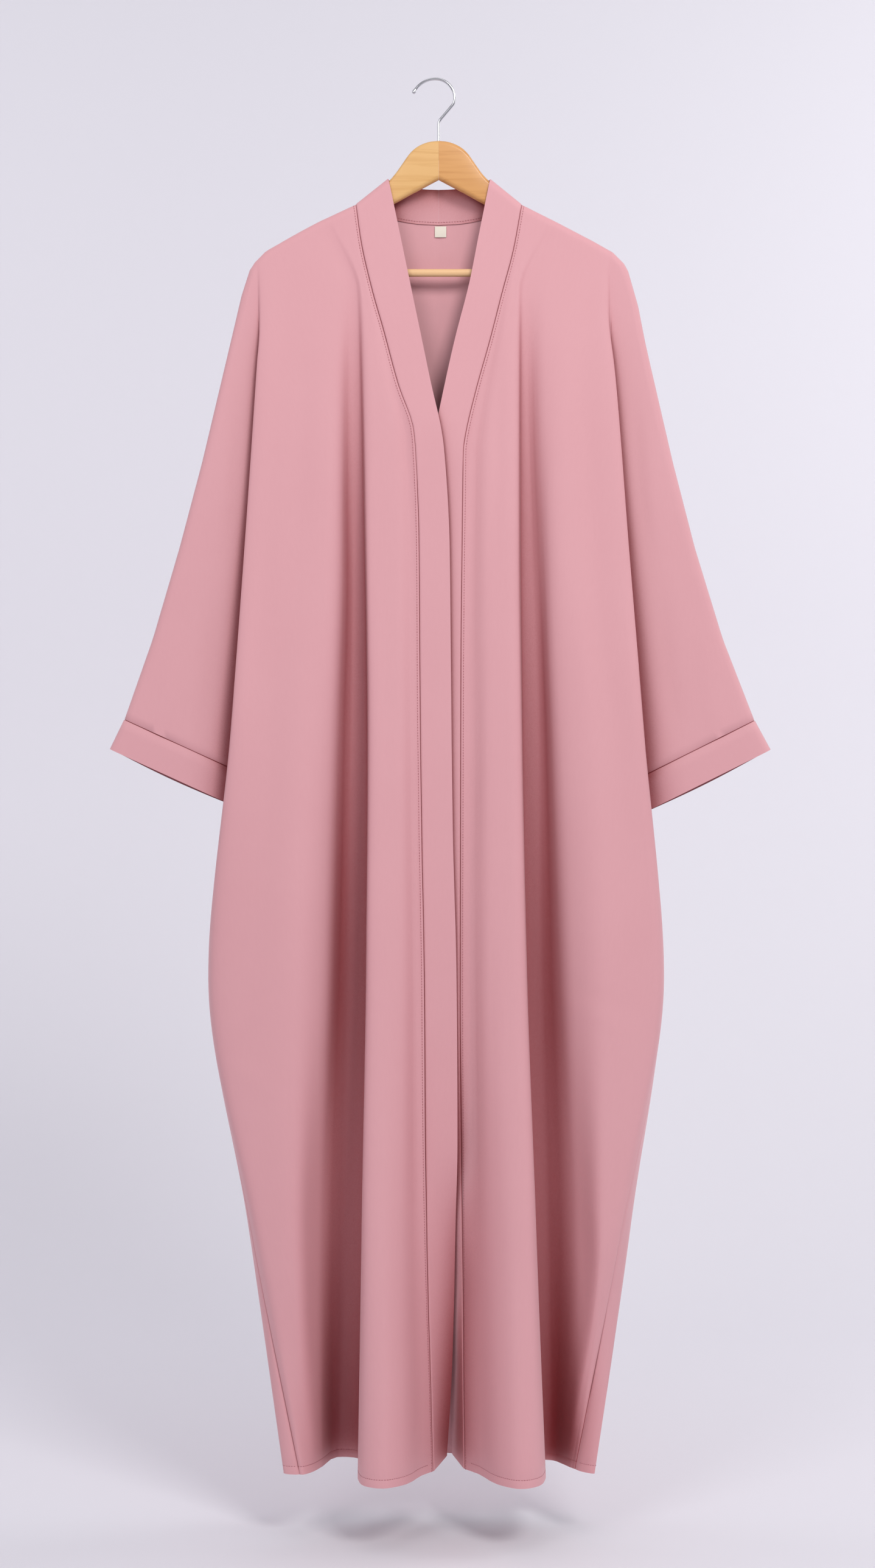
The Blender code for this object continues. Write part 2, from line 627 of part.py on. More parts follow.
def make_object(name, verts, faces, colour, roughness, metallic=0.0):
    """Named object with outward faces, smooth where the surface is round."""
    mesh = bpy.data.meshes.new(name)
    mesh.from_pydata([tuple(v) for v in verts], [], faces)
    work = bmesh.new()
    work.from_mesh(mesh)
    bmesh.ops.recalc_face_normals(work, faces=work.faces)
    work.to_mesh(mesh)
    work.free()
    mesh.materials.append(material(name + "_finish", colour, roughness, metallic))
    mesh.shade_smooth()
    mesh.set_sharp_from_angle(angle=math.radians(50))
    item = bpy.data.objects.new(name, mesh)
    bpy.context.scene.collection.objects.link(item)
    return item


FRONT_COLUMNS = 1 + len(RIGHT_NEAR) + len(RIGHT_FOLDS)
FACE_BACK = Vector((0, 1, 0))


def add_sleeve_layer(sheet, side, facing, last_column):
    """Add one layer of a sleeve beside the body's last column."""
    first = last_column + 1
    width = 0
    for row in range(SLEEVE_ROWS):
        places = sleeve_row(side, row, facing)
        width = len(places)
        for offset, place in enumerate(places):
            sheet.put((side.name, row, first + offset), to_vector(side, place))
    for row in range(SLEEVE_ROWS - 1):
        for column in range(first, first + width - 1):
            add_cell(sheet, side, row, column, facing)
    for row in range(UNDERARM_ROW):
        add_cell(sheet, side, row, last_column, facing)
    towards_seam = FACE_BACK * -facing
    outer = first + width - 1
    crotch = Vector((-side.sign * CROTCH_LEAN, 0, -1))
    for row in range(SLEEVE_ROWS):
        sheet.rim((side.name, row, outer), towards_seam)
        if row >= UNDERARM_ROW:
            sheet.rim((side.name, row, first), towards_seam, crotch if row == UNDERARM_ROW else None)
    for column in range(first, outer):
        sheet.rim((side.name, 0, column), towards_seam)
    for column in range(first, outer + 1):
        sheet.rim((side.name, SLEEVE_ROWS - 1, column), cuff_direction(side))


def add_cell(sheet, side, row, column, facing):
    """Add one quad with its front towards the outside of the garment."""
    corners = [(side.name, row, column), (side.name, row + 1, column),
               (side.name, row + 1, column + 1), (side.name, row, column + 1)]
    if side.sign * facing > 0:
        corners.reverse()
    sheet.cell(*corners)


def build_front(side):
    """Front panel with the front half of its cut-in-one sleeve."""
    sheet = Sheet()
    last = FRONT_COLUMNS
    for row in range(BODY_ROWS):
        places = front_body_row(side, row)
        edge = crease_place(side, row)[0] if row <= UNDERARM_ROW else side_seam_place(side, row)
        for column, place in enumerate(places + [edge]):
            sheet.put((side.name, row, column), to_vector(side, place))
    for row in range(BODY_ROWS - 1):
        for column in range(last):
            add_cell(sheet, side, row, column, -1)
    add_sleeve_layer(sheet, side, -1, last)
    for column in range(last + 1):
        sheet.rim((side.name, 0, column), FACE_BACK)
    for row in range(BODY_ROWS):
        sheet.rim((side.name, row, 0), band_direction(side, row))
        if row >= UNDERARM_ROW:
            sheet.rim((side.name, row, last), *side_seam_frame(side, row))
    sheet.solid("front_" + side.name, CLOTH_WALL, ROSE, 0.62)


def build_back():
    """Back in one piece, with the back halves of both sleeves."""
    sheet = Sheet()
    wraps = len(RIGHT_WRAP) + len(BACK_SHARES)
    last = wraps
    for side in SIDES:
        for row in range(BODY_ROWS):
            places = back_body_row(side, row)
            if row <= UNDERARM_ROW:
                crease = crease_place(side, row)[0]
                edge = Place(crease.across, crease.height, -crease.depth)
            else:
                edge = side_seam_place(side, row)
            ordered = [edge] + places
            for offset, place in enumerate(ordered):
                column = last - offset
                if column == 0 and side.sign > 0:
                    sheet.keys[(side.name, row, 0)] = sheet.keys[("right", row, 0)]
                    continue
                sheet.put((side.name, row, column), to_vector(side, place))
        for row in range(BODY_ROWS - 1):
            for column in range(last):
                add_cell(sheet, side, row, column, 1)
        add_sleeve_layer(sheet, side, 1, last)
        for row in range(UNDERARM_ROW, BODY_ROWS):
            across, normal = side_seam_frame(side, row)
            sheet.rim((side.name, row, last), -across, normal)
        corner_column = wraps - len(side.wrap) - 3
        for column in range(corner_column, last + 1):
            sheet.rim((side.name, 0, column), -FACE_BACK)
        for offset, neck in enumerate(NECK):
            if neck.across == 0.0 and side.sign > 0:
                continue
            sheet.rim((side.name, 0, corner_column - offset), neck_direction(side, neck))
    sheet.solid("back", CLOTH_WALL, ROSE, 0.62)


def band_stations(side):
    """Seam and free edge of the band from the hem up, over the shoulder and round the neck."""
    stations = []
    for row in reversed(range(BODY_ROWS)):
        seam, free = band_place(side, row_height(row, side.band[0].height))
        stations.append((to_vector(side, seam), to_vector(side, free)))
    for neck in NECK[1:]:
        seam = rolled(side, neck.across, neck.height, neck.depth)
        free = rolled(side, neck.free_across, neck.free_height, neck.depth)
        stations.append((to_vector(side, seam), to_vector(side, free)))
    return stations


def build_band(side):
    """Double band down one front edge and round to the centre back."""
    sheet = Sheet()
    stations = band_stations(side)
    for row, (seam, free) in enumerate(stations):
        sheet.put((row, 0), seam)
        sheet.put((row, 1), seam.lerp(free, 0.5))
        sheet.put((row, 2), free)
        sheet.rim((row, 0), (seam - free).normalized())
    for row in range(len(stations) - 1):
        for column in range(2):
            corners = [(row, column), (row, column + 1), (row + 1, column + 1), (row + 1, column)]
            if side.sign > 0:
                corners.reverse()
            sheet.cell(*corners)
    centre = Vector((-side.sign, 0, 0))
    for column in range(3):
        sheet.rim((len(stations) - 1, column), centre)
    sheet.solid("band_" + side.name, BAND_WALL, ROSE, 0.6)


def cuff_loop(side, share):
    """Closed loop of the cuff at a share of its depth."""
    last = SLEEVE_ROWS - 1
    front = sleeve_row(side, last, -1)
    back = sleeve_row(side, last, 1)[1:-1]
    seam_outer, seam_inner = side.cuff_seam
    edge_outer, edge_inner = side.cuff_edge
    points = []
    for layer, facing in ((front, -1), (list(reversed(back)), 1)):
        for place in layer:
            t = (place.across - seam_inner[0]) / (seam_outer[0] - seam_inner[0])
            across = mix(edge_inner[0], edge_outer[0], t)
            height = mix(edge_inner[1], edge_outer[1], t)
            swell = math.sin(math.pi * t)
            if facing > 0:
                height -= BACK_CUFF_DROP * swell
            depth = place.depth * mix(1.0, CUFF_HALF_DEPTH / SLEEVE_HALF_DEPTH[1], share)
            points.append(Vector((side.sign * mix(place.across, across, share), depth,
                                  mix(place.height, height, share))))
    return points


def build_cuff(side):
    """Cuff ring that turns up over the end of the sleeve."""
    sheet = Sheet()
    shares = (0.0, 0.5, 1.0)
    loops = [cuff_loop(side, share) for share in shares]
    count = len(loops[0])
    for row, loop in enumerate(loops):
        for i, point in enumerate(loop):
            sheet.put((row, i), point)
    for row in range(len(loops) - 1):
        for i in range(count):
            corners = [(row, i), (row + 1, i), (row + 1, (i + 1) % count), (row, (i + 1) % count)]
            if side.sign < 0:
                corners.reverse()
            sheet.cell(*corners)
    for i in range(count):
        sheet.rim((0, i), -cuff_direction(side))
    sheet.solid("cuff_" + side.name, CUFF_WALL, ROSE, 0.6)


def back_depth(across, height):
    """Depth of the back's middle near the neck."""
    inner, outer = NECK[-1], NECK[-2]
    near, far = [flow(table_knots(neck.height), line.depth, height)
                 for neck, line in zip((inner, outer), (BACK_SHARES[-1], BACK_SHARES[-2]))]
    return mix(near, far, abs(across) / outer.across)


def build_label():
    """Bare woven label below the centre back of the neck band."""
    sheet = Sheet()
    stand_off = CLOTH_WALL / 2 + JOINT_GAP + LABEL_WALL / 2
    columns = (LABEL_LEFT, 0.0, LABEL_RIGHT)
    heights = (LABEL_TOP, mix(LABEL_TOP, LABEL_BOTTOM, 0.5), LABEL_BOTTOM)
    for row, height in enumerate(heights):
        for column, across in enumerate(columns):
            depth = back_depth(across, height) - stand_off
            sheet.put((row, column), Vector((across, depth, height)))
    for row in range(2):
        for column in range(2):
            sheet.cell((row, column), (row + 1, column), (row + 1, column + 1), (row, column + 1))
    sheet.solid("neck_label", LABEL_WALL, CREAM, 0.8)


def tube(name, path, radii, sides, colour, roughness, metallic):
    """Closed round bar along a flat path in the plane of the hanger."""
    verts = []
    for i, (x, z) in enumerate(path):
        ahead = path[min(i + 1, len(path) - 1)]
        behind = path[max(i - 1, 0)]
        dx, dz = ahead[0] - behind[0], ahead[1] - behind[1]
        size = math.hypot(dx, dz)
        nx, nz = -dz / size, dx / size
        for k in range(sides):
            angle = 2 * math.pi * (k + 0.5) / sides
            out = radii[i] * math.cos(angle)
            verts.append(Vector((x + nx * out, radii[i] * math.sin(angle), z + nz * out)) * MM)
    faces = [list(range(sides)), [len(verts) - 1 - k for k in range(sides)]]
    for ring in range(len(path) - 1):
        for k in range(sides):
            a, b = ring * sides + k, ring * sides + (k + 1) % sides
            faces.append([a, b, b + sides, a + sides])
    return make_object(name, verts, faces, colour, roughness, metallic)


def hook_path():
    """Centre line of the hook from its tip to its seat in the wood."""
    x, z = HOOK_TIP
    heading = math.radians(HOOK_TIP_HEADING)
    path = [(x, z)]
    for bend in HOOK_BENDS:
        for _ in range(bend.steps):
            turn = math.radians(bend.turn) / bend.steps
            step = bend.length / bend.steps
            if bend.radius:
                step = 2 * bend.radius * math.sin(abs(turn) / 2)
            heading += turn / 2
            x += step * math.cos(heading)
            z += step * math.sin(heading)
            heading += turn / 2
            path.append((x, z))
    path[-1] = (0.0, path[-1][1])
    path.append((0.0, -68.0))
    path.append((0.0, HOOK_END_HEIGHT))
    return path


def build_hook():
    """Wire hook with a small rounded bulb at its tip."""
    path = hook_path()
    tip = path[0]
    heading = math.radians(HOOK_TIP_HEADING)
    start = [(tip[0] + along * math.cos(heading), tip[1] + along * math.sin(heading))
             for along, _ in HOOK_TIP_BULB]
    radii = [radius for _, radius in HOOK_TIP_BULB] + [WIRE_RADIUS] * (len(path) - 2)
    tube("hanger_hook", start + path[2:], radii, HOOK_SIDES, CHROME, 0.18, 1.0)


def wood_ring(across, top, bottom, half):
    """Rounded outline of the wood at one distance from the centre."""
    radius = min(WOOD_EDGE_RADIUS * half / WOOD_HALF, (top - bottom) / 2 - 0.2)
    points = []
    corners = ((half - radius, top - radius, 0), (radius - half, top - radius, 90),
               (radius - half, bottom + radius, 180), (half - radius, bottom + radius, 270))
    for y, z, start in corners:
        for k in range(WOOD_CORNER_POINTS):
            angle = math.radians(start + 90 * k / (WOOD_CORNER_POINTS - 1))
            points.append((across, y + radius * math.cos(angle), z + radius * math.sin(angle)))
    return points


def cutter(name, radius, start, end):
    """Hidden round cutter between two points."""
    span = Vector(end) - Vector(start)
    bpy.ops.mesh.primitive_cylinder_add(vertices=16, radius=radius * MM, depth=span.length * MM,
                                        location=(Vector(start) + span / 2) * MM)
    tool = bpy.context.object
    tool.name = name
    tool.rotation_euler = span.to_track_quat("Z", "Y").to_euler()
    tool.hide_render = True
    tool.display_type = "WIRE"
    return tool


def build_arm(side):
    """One arm of the wooden hanger, with half of the hook's bore and the bar's pocket."""
    rows = [(x, top, bottom, WOOD_HALF) for x, top, bottom in WOOD_MIDDLE]
    for x, bottom, share in WOOD_ARM:
        slope = ridge_height(side.ridge, x - 1) - ridge_height(side.ridge, x + 1)
        top = ridge_height(side.ridge, x) - WOOD_CLEARANCE * math.hypot(1.0, slope / 2)
        rows.append((x, top, bottom, WOOD_HALF * share))
    rings = [wood_ring(*row) for row in rows]
    verts = [Vector((side.sign * x, y, z)) * MM for ring in rings for x, y, z in ring]
    count = len(rings[0])
    faces = [list(range(count)), [len(verts) - 1 - k for k in range(count)]]
    for ring in range(len(rings) - 1):
        for k in range(count):
            a, b = ring * count + k, ring * count + (k + 1) % count
            faces.append([a, b, b + count, a + count])
    arm = make_object("hanger_arm_" + side.name, verts, faces, BEECH, 0.45)
    bore = cutter("bore_cutter_" + side.name, HOOK_BORE_RADIUS, (0, 0, -60), (0, 0, HOOK_BORE_END))
    pocket = cutter("pocket_cutter_" + side.name, BAR_POCKET_RADIUS,
                    (side.sign * BAR_POCKET[0], 0, BAR_HEIGHT),
                    (side.sign * BAR_POCKET[1], 0, BAR_HEIGHT))
    for tool in (bore, pocket):
        cut = arm.modifiers.new("cut", "BOOLEAN")
        cut.operation = "DIFFERENCE"
        cut.solver = "EXACT"
        cut.object = tool


def build_bar():
    """Round trouser bar between the arms."""
    path = [(-BAR_HALF_LENGTH, BAR_HEIGHT), (BAR_HALF_LENGTH, BAR_HEIGHT)]
    tube("hanger_bar", path, (BAR_RADIUS, BAR_RADIUS), 14, BEECH, 0.45, 0.0)


def main():
    """Build every piece."""
    clear_scene()
    for side in SIDES:
        build_front(side)
        build_band(side)
        build_cuff(side)
        build_arm(side)
    build_back()
    build_label()
    build_hook()
    build_bar()


main()
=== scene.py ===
"""Looks of a long open-front abaya that hangs on a wooden hanger.

The cloth follows the same tables as the solids, with more rows and columns, softer bends
and the small creases that the solids leave out. Tables are in millimetres: "across" is
the distance from the centre line, and "depth" is the place on Y, with the front at -Y.
"""
from __future__ import annotations

import logging
import math
from collections.abc import Iterable, Sequence
from dataclasses import dataclass, field
from enum import Enum
from typing import Union

import bmesh
import bpy
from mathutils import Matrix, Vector

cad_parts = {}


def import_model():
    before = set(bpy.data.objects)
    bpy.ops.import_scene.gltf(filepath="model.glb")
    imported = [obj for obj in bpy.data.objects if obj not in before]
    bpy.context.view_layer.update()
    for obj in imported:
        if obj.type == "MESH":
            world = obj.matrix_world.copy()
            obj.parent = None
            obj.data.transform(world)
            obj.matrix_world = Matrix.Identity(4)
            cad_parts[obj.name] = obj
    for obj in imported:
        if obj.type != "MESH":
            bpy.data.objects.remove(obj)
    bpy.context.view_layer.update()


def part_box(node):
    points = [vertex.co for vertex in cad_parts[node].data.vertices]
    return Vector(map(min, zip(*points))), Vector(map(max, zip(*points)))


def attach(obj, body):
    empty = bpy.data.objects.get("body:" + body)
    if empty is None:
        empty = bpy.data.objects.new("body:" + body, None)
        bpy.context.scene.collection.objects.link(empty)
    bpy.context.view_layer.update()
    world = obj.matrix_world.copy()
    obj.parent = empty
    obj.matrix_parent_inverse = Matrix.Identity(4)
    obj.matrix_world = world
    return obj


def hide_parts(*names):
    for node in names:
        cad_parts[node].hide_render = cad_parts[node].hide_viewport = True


LOG = logging.getLogger("abaya")
MM = 0.001

# Driving sizes of the cloth
CLOTH_WALL = 1.1
BAND_WALL = 2.0
CUFF_WALL = 2.0
SEAM_GAP = 0.12
SEAM_SINK = 0.8
SEAM_ROLL = 0.9
CENTRE_GAP = 0.06
ROLL = 7.8
UNDER_ROLL = 3.0
UNDER_HALF_DEPTH = 3.0
SLEEVE_SWELL = 60.0
HEM_HEIGHT = -1593.0
HEM_TURN = 9.0
YOKE_BASE = -330.0
UNDERARM = -565.0
STITCH_SET_IN = 3.0
CUFF_HALF_DEPTH = 9.0
SLEEVE_HALF_DEPTH = (6.5, 9.5)
BACK_CUFF_DROP = 3.0
HEM_DIP = 0.25
STITCH_LIFT = 0.05
LABEL_WALL = 0.8
LABEL_BULGE = 0.5
YOKE_ROWS = 20
NECK_STEPS = (2, 2, 6, 5, 5)
TABLE_HEIGHTS = (YOKE_BASE, -540, -750, -1030, -1310, HEM_HEIGHT)

# Flat cloth, in metres: the fronts' and the back's width rests on a guessed factor
BAND_SHOWN = 0.035
CUFF_SHOWN = 0.038

# Driving sizes of the hanger
WOOD_HALF = 6.0
WOOD_EDGE_RADIUS = 5.6
WOOD_CLEARANCE = 2.3
WIRE_RADIUS = 1.6
HOOK_STEM_HEIGHT = -68.0
HOOK_END_HEIGHT = -91.7
HOOK_FINENESS = 3
ARM_START = 0.04
ARM_STEPS = 4
BAR_SIDES = 32

Knots = Sequence[float]


@dataclass(frozen=True)
class FoldLine:
    """A fold line down the cloth: values at the shoulder, half way down the yoke, and below."""

    name: str
    across: Knots
    depth: Knots


@dataclass(frozen=True)
class ShareLine:
    """A fold line at a share of the way between two others."""

    name: str
    share: float
    depth: Knots


@dataclass(frozen=True)
class BandRow:
    """The band's seam and free edge at one height."""

    height: float
    across: float
    depth: float
    free_across: float
    free_rise: float
    free_depth: float


@dataclass(frozen=True)
class NeckRow:
    """The back's neck seam and the band's free edge above it."""

    share: float
    across: float
    height: float
    depth: float
    free_across: float
    free_height: float


@dataclass(frozen=True)
class CreaseRow:
    """The front and sleeve edges of the crease behind the side fold."""

    height: float
    across: float
    depth: float
    sleeve_across: float
    sleeve_depth: float


@dataclass(frozen=True)
class Place:
    """A place on one side of the garment."""

    across: float
    height: float
    depth: float


@dataclass(frozen=True)
class Crease:
    """A soft ridge or valley along a broken line in the front view.

    The line is (x, height) pairs with x towards the wearer's left. The rise is towards the
    outside, and a negative rise is a valley.
    """

    line: Sequence[tuple[float, float]]
    reach: float
    rise: float
    taper: float = 0.2


@dataclass(frozen=True)
class Side:
    """Every table of one side of the garment."""

    name: str
    sign: int
    ridge: Sequence[tuple[float, float]]
    near: Sequence[ShareLine]
    folds: Sequence[FoldLine]
    band: Sequence[BandRow]
    crease: Sequence[CreaseRow]
    side_seam: Sequence[Place]
    under_seam: Sequence[tuple[float, float]]
    cuff_seam: Sequence[tuple[float, float]]
    cuff_edge: Sequence[tuple[float, float]]
    wrap: Sequence[FoldLine]


RIGHT_NEAR = (
    ShareLine("valley by the band", 0.16, (-7.8, -11.5, -17, -26, -32, -38, -42, -45)),
    ShareLine("ridge by the band", 0.36, (-7.8, -12, -18, -29, -38, -50, -64, -84)),
    ShareLine("middle of the fold", 0.66, (-7.8, -12, -18, -29, -40, -56, -78, -103)),
    ShareLine("round of the fold", 0.90, (-7.8, -12, -17, -28, -40, -56, -77, -92)),
)
RIGHT_FOLDS = (
    FoldLine("crest", (126, 90, 86.4, 81.9, 78.8, 81.3, 86.0, 91.0),
             (-7.8, -11.5, -15, -25, -35, -50, -66, -58)),
    FoldLine("floor by the crest", (130, 94, 91, 86.0, 82.5, 79.5, 84.5, 93.0),
             (-7.8, -9.2, -8, -8, -8, -3, 10, 36)),
    FoldLine("valley", (136, 101, 100.5, 100.3, 103, 108, 114, 119),
             (-7.8, -8.8, -7, -6, -5.5, 1, 14, 42)),
    FoldLine("rise", (144, 113, 112, 114, 121, 127, 141, 134),
             (-7.8, -10.5, -13, -20, -28, -30, -22, -2)),
    FoldLine("flat", (162, 145, 140.5, 147, 153, 159, 161, 143),
             (-7.8, -11.5, -15.5, -26, -39, -52, -52, -25)),
    FoldLine("dip", (184, 180, 178.5, 195, 207, 215, 193.5, 150.5),
             (-7.8, -11, -14.5, -24, -36, -46, -50, -37)),
    FoldLine("front of the edge", (199, 197, 202, 215, 230, 256, 205, 154),
             (-7.8, -11.2, -15, -24, -37, -34, -46, -40)),
    FoldLine("edge", (203, 203.7, 207.8, 221.5, 236.5, 262.5, 209.5, 155.5),
             (-7.8, -10.3, -13, -21.5, -33, -20, -41, -40)),
    FoldLine("behind the edge", (205.5, 205.2, 205, 212, 226, 263.5, 212.5, 156.8),
             (-7.8, -9.2, -10.5, -14, -22, -9, -34, -39.5)),
)
RIGHT_CREASE = (
    CreaseRow(-208, 207.5, -7.8, 209.0, -7.8),
    CreaseRow(-262, 206.4, -7.4, 207.8, -6.9),
    CreaseRow(-330, 200.5, -7.6, 202.0, -4.8),
    CreaseRow(-440, 195.0, -6.2, 197.2, -4.6),
    CreaseRow(-515, 190.0, -4.1, 195.0, -4.0),
    CreaseRow(-565, 187.0, 0.0, 194.5, 0.0),
)
RIGHT_SIDE_SEAM = (
    Place(187.0, -565, 0.0),
    Place(200.0, -750, 0.0),
    Place(213.0, -890, 0.0),
    Place(263.0, -1030, -0.2),
    Place(215.3, -1310, -27.5),
    Place(157.7, HEM_HEIGHT, -39.0),
)
RIGHT_RIDGE = (
    (57.8, -113.9), (94.9, -143.4), (138.7, -163.8), (171.2, -181.3), (198.8, -197.6),
    (211.2, -210.0), (217.0, -219.0), (226.2, -247.6), (233.8, -280.0), (245.0, -327.4),
    (271.6, -439.4), (297.5, -537.4), (328.3, -642.4), (360.9, -735.2),
)
RIGHT_BAND = (
    BandRow(-143.4, 94.9, -7.8, 57.8, 29.5, -7.8),
    BandRow(-187.4, 88.9, -9.0, 46.7, 20.0, -9.0),
    BandRow(-242.7, 76.3, -11.5, 33.2, 10.0, -11.5),
    BandRow(-287.5, 63.6, -14.0, 22.7, 4.0, -14.5),
    BandRow(-352.6, 46.0, -19.0, 8.9, 2.0, -20.0),
    BandRow(-405.0, 28.5, -24.5, -3.1, 0.0, -26.5),
    BandRow(-425.0, 26.6, -25.5, -5.9, 0.0, -27.0),
    BandRow(-540.0, 22.2, -28.0, -12.5, 0.0, -28.5),
    BandRow(-678.0, 21.4, -31.0, -13.9, 0.0, -31.5),
    BandRow(-860.0, 19.3, -35.0, -16.0, 0.0, -35.0),
    BandRow(-1030.0, 16.3, -38.0, -20.2, 0.0, -37.0),
    BandRow(-1214.0, 15.1, -37.0, -21.3, 0.0, -36.0),
    BandRow(-1310.0, 13.8, -35.0, -18.9, 0.0, -20.0),
    BandRow(-1400.0, 12.0, -32.0, -17.0, 0.0, -10.5),
    BandRow(-1486.0, 9.4, -29.0, -14.3, 0.0, -2.0),
    BandRow(HEM_HEIGHT, 6.6, -25.0, -8.6, 10.0, 7.0),
)
RIGHT_WRAP = (
    FoldLine("behind the edge", (205.5, 205.2, 204, 210, 224, 263.6, 216.0, 164.5),
             (7.8, 9, 10, 13, 20, 6, -24, -40)),
    FoldLine("edge", (203, 203, 205.5, 218, 232, 262.8, 218.6, 175.8),
             (7.8, 10, 12.5, 20, 30, 16, -8, -34)),
    FoldLine("front of the edge", (199, 197, 200, 212, 226, 256, 212, 170),
             (7.8, 11, 14, 22, 34, 28, 12, -6)),
    FoldLine("side of the back", (184, 180, 178, 192, 203, 226, 190, 150),
             (7.8, 10.5, 13.5, 21, 31, 36, 32, 28)),
)

LEFT_NEAR = (
    ShareLine("valley by the band", 0.18, (-7.8, -11, -14, -21, -27, -33, -33, -38)),
    ShareLine("ridge by the band", 0.40, (-7.8, -12, -17, -27, -35, -48, -62, -84)),
    ShareLine("middle of the fold", 0.68, (-7.8, -12, -18, -28, -38, -54, -78, -105)),
    ShareLine("round of the fold", 0.90, (-7.8, -12, -17, -27, -38, -54, -77, -92)),
)
LEFT_FOLDS = (
    FoldLine("crest", (128, 92, 91.3, 91.0, 93.5, 99.2, 108.8, 120.4),
             (-7.8, -11.5, -15, -24, -34, -48, -66, -56)),
    FoldLine("floor by the crest", (132, 96, 95.5, 95.5, 97, 97.5, 107.0, 121.5),
             (-7.8, -9.2, -8, -8, -8, -3, 9, 28)),
    FoldLine("valley", (138, 104, 103.3, 109.3, 117.8, 121.6, 129.3, 133),
             (-7.8, -8.8, -7, -6, -5.5, 1, 13, 26)),
    FoldLine("rise", (146, 119, 118, 124.5, 134.5, 148, 162.7, 143),
             (-7.8, -10.5, -13, -19, -26, -30, -22, 10)),
    FoldLine("flat", (164, 148, 142, 145, 169, 182, 182, 148),
             (-7.8, -11.5, -15.5, -25, -38, -50, -50, 0)),
    FoldLine("dip", (178, 172, 166.8, 180, 200, 213, 194.5, 151.5),
             (-7.8, -11, -14.5, -24, -36, -46, -49, -7)),
    FoldLine("front of the edge", (187, 186.5, 194.5, 210.5, 227, 250, 200, 153.2),
             (-7.8, -11.2, -15, -24, -37, -34, -47.5, -9.5)),
    FoldLine("edge", (191, 192.7, 200.7, 216.9, 233.3, 256, 203, 154.2),
             (-7.8, -10.3, -13, -21.5, -33, -24, -46, -11.5)),
    FoldLine("behind the edge", (194, 194.6, 199, 208, 223, 257.4, 206, 155.0),
             (-7.8, -9.2, -10.5, -14, -22, -15, -44, -13)),
)
LEFT_CREASE = (
    CreaseRow(-208, 196.5, -7.8, 198.5, -7.8),
    CreaseRow(-262, 196.2, -7.4, 197.8, -6.9),
    CreaseRow(-330, 195.5, -7.6, 197.2, -4.8),
    CreaseRow(-440, 191.0, -6.2, 193.2, -4.6),
    CreaseRow(-515, 186.0, -4.1, 191.0, -4.0),
    CreaseRow(-565, 183.0, 0.0, 190.5, 0.0),
)
LEFT_SIDE_SEAM = (
    Place(183.0, -565, 0.0),
    Place(197.0, -750, 0.0),
    Place(211.0, -890, 0.0),
    Place(257.3, -1030, -6.0),
    Place(208.8, -1310, -41.0),
    Place(156.0, HEM_HEIGHT, -14.5),
)
LEFT_RIDGE = (
    (59.0, -114.4), (95.2, -143.7), (135.1, -163.6), (177.8, -186.0), (200.2, -198.6),
    (212.8, -211.2), (217.5, -220.0), (228.9, -259.9), (236.6, -299.4), (242.9, -327.4),
    (268.8, -439.4), (294.0, -537.4), (326.2, -642.4), (362.6, -736.2),
)
LEFT_BAND = (
    BandRow(-143.7, 95.2, -7.8, 59.0, 29.3, -7.8),
    BandRow(-197.2, 85.4, -9.5, 46.0, 18.0, -9.5),
    BandRow(-244.8, 72.8, -11.5, 34.8, 9.0, -11.5),
    BandRow(-302.2, 58.1, -14.0, 18.8, 4.0, -14.0),
    BandRow(-357.5, 42.7, -17.0, 6.0, 2.0, -18.0),
    BandRow(-407.9, 30.8, -20.0, -4.5, 0.0, -21.5),
    BandRow(-424.7, 28.2, -21.0, -7.0, 0.0, -21.8),
    BandRow(-482.8, 27.2, -22.0, -8.5, 0.0, -22.2),
    BandRow(-677.4, 25.2, -26.0, -10.3, 0.0, -26.0),
    BandRow(-860.0, 24.6, -30.0, -11.0, 0.0, -30.0),
    BandRow(-1063.0, 24.2, -33.0, -11.5, 0.0, -32.0),
    BandRow(-1214.0, 25.5, -27.0, -9.0, 0.0, -22.0),
    BandRow(-1310.0, 27.0, -19.0, -4.5, 0.0, -2.0),
    BandRow(-1400.0, 28.2, -12.0, 1.2, 0.0, 12.0),
    BandRow(-1486.0, 28.5, -12.0, 12.6, 0.0, 20.0),
    BandRow(HEM_HEIGHT, 29.8, -14.0, 16.6, 9.0, 19.0),
)
LEFT_WRAP = (
    FoldLine("behind the edge", (194, 194.6, 198, 206, 221, 257.4, 213, 163),
             (7.8, 9, 10, 13, 20, 5, -34, -26)),
    FoldLine("edge", (191, 191, 199.5, 214, 229, 256, 219.8, 176.6),
             (7.8, 10, 12.5, 20, 30, 16, -16, -36)),
    FoldLine("front of the edge", (187, 186, 193, 208, 223, 249, 215, 172),
             (7.8, 11, 14, 22, 34, 28, 8, -8)),
    FoldLine("side of the back", (178, 172, 170, 188, 200, 220, 192, 152),
             (7.8, 10.5, 13.5, 21, 31, 36, 32, 28)),
)

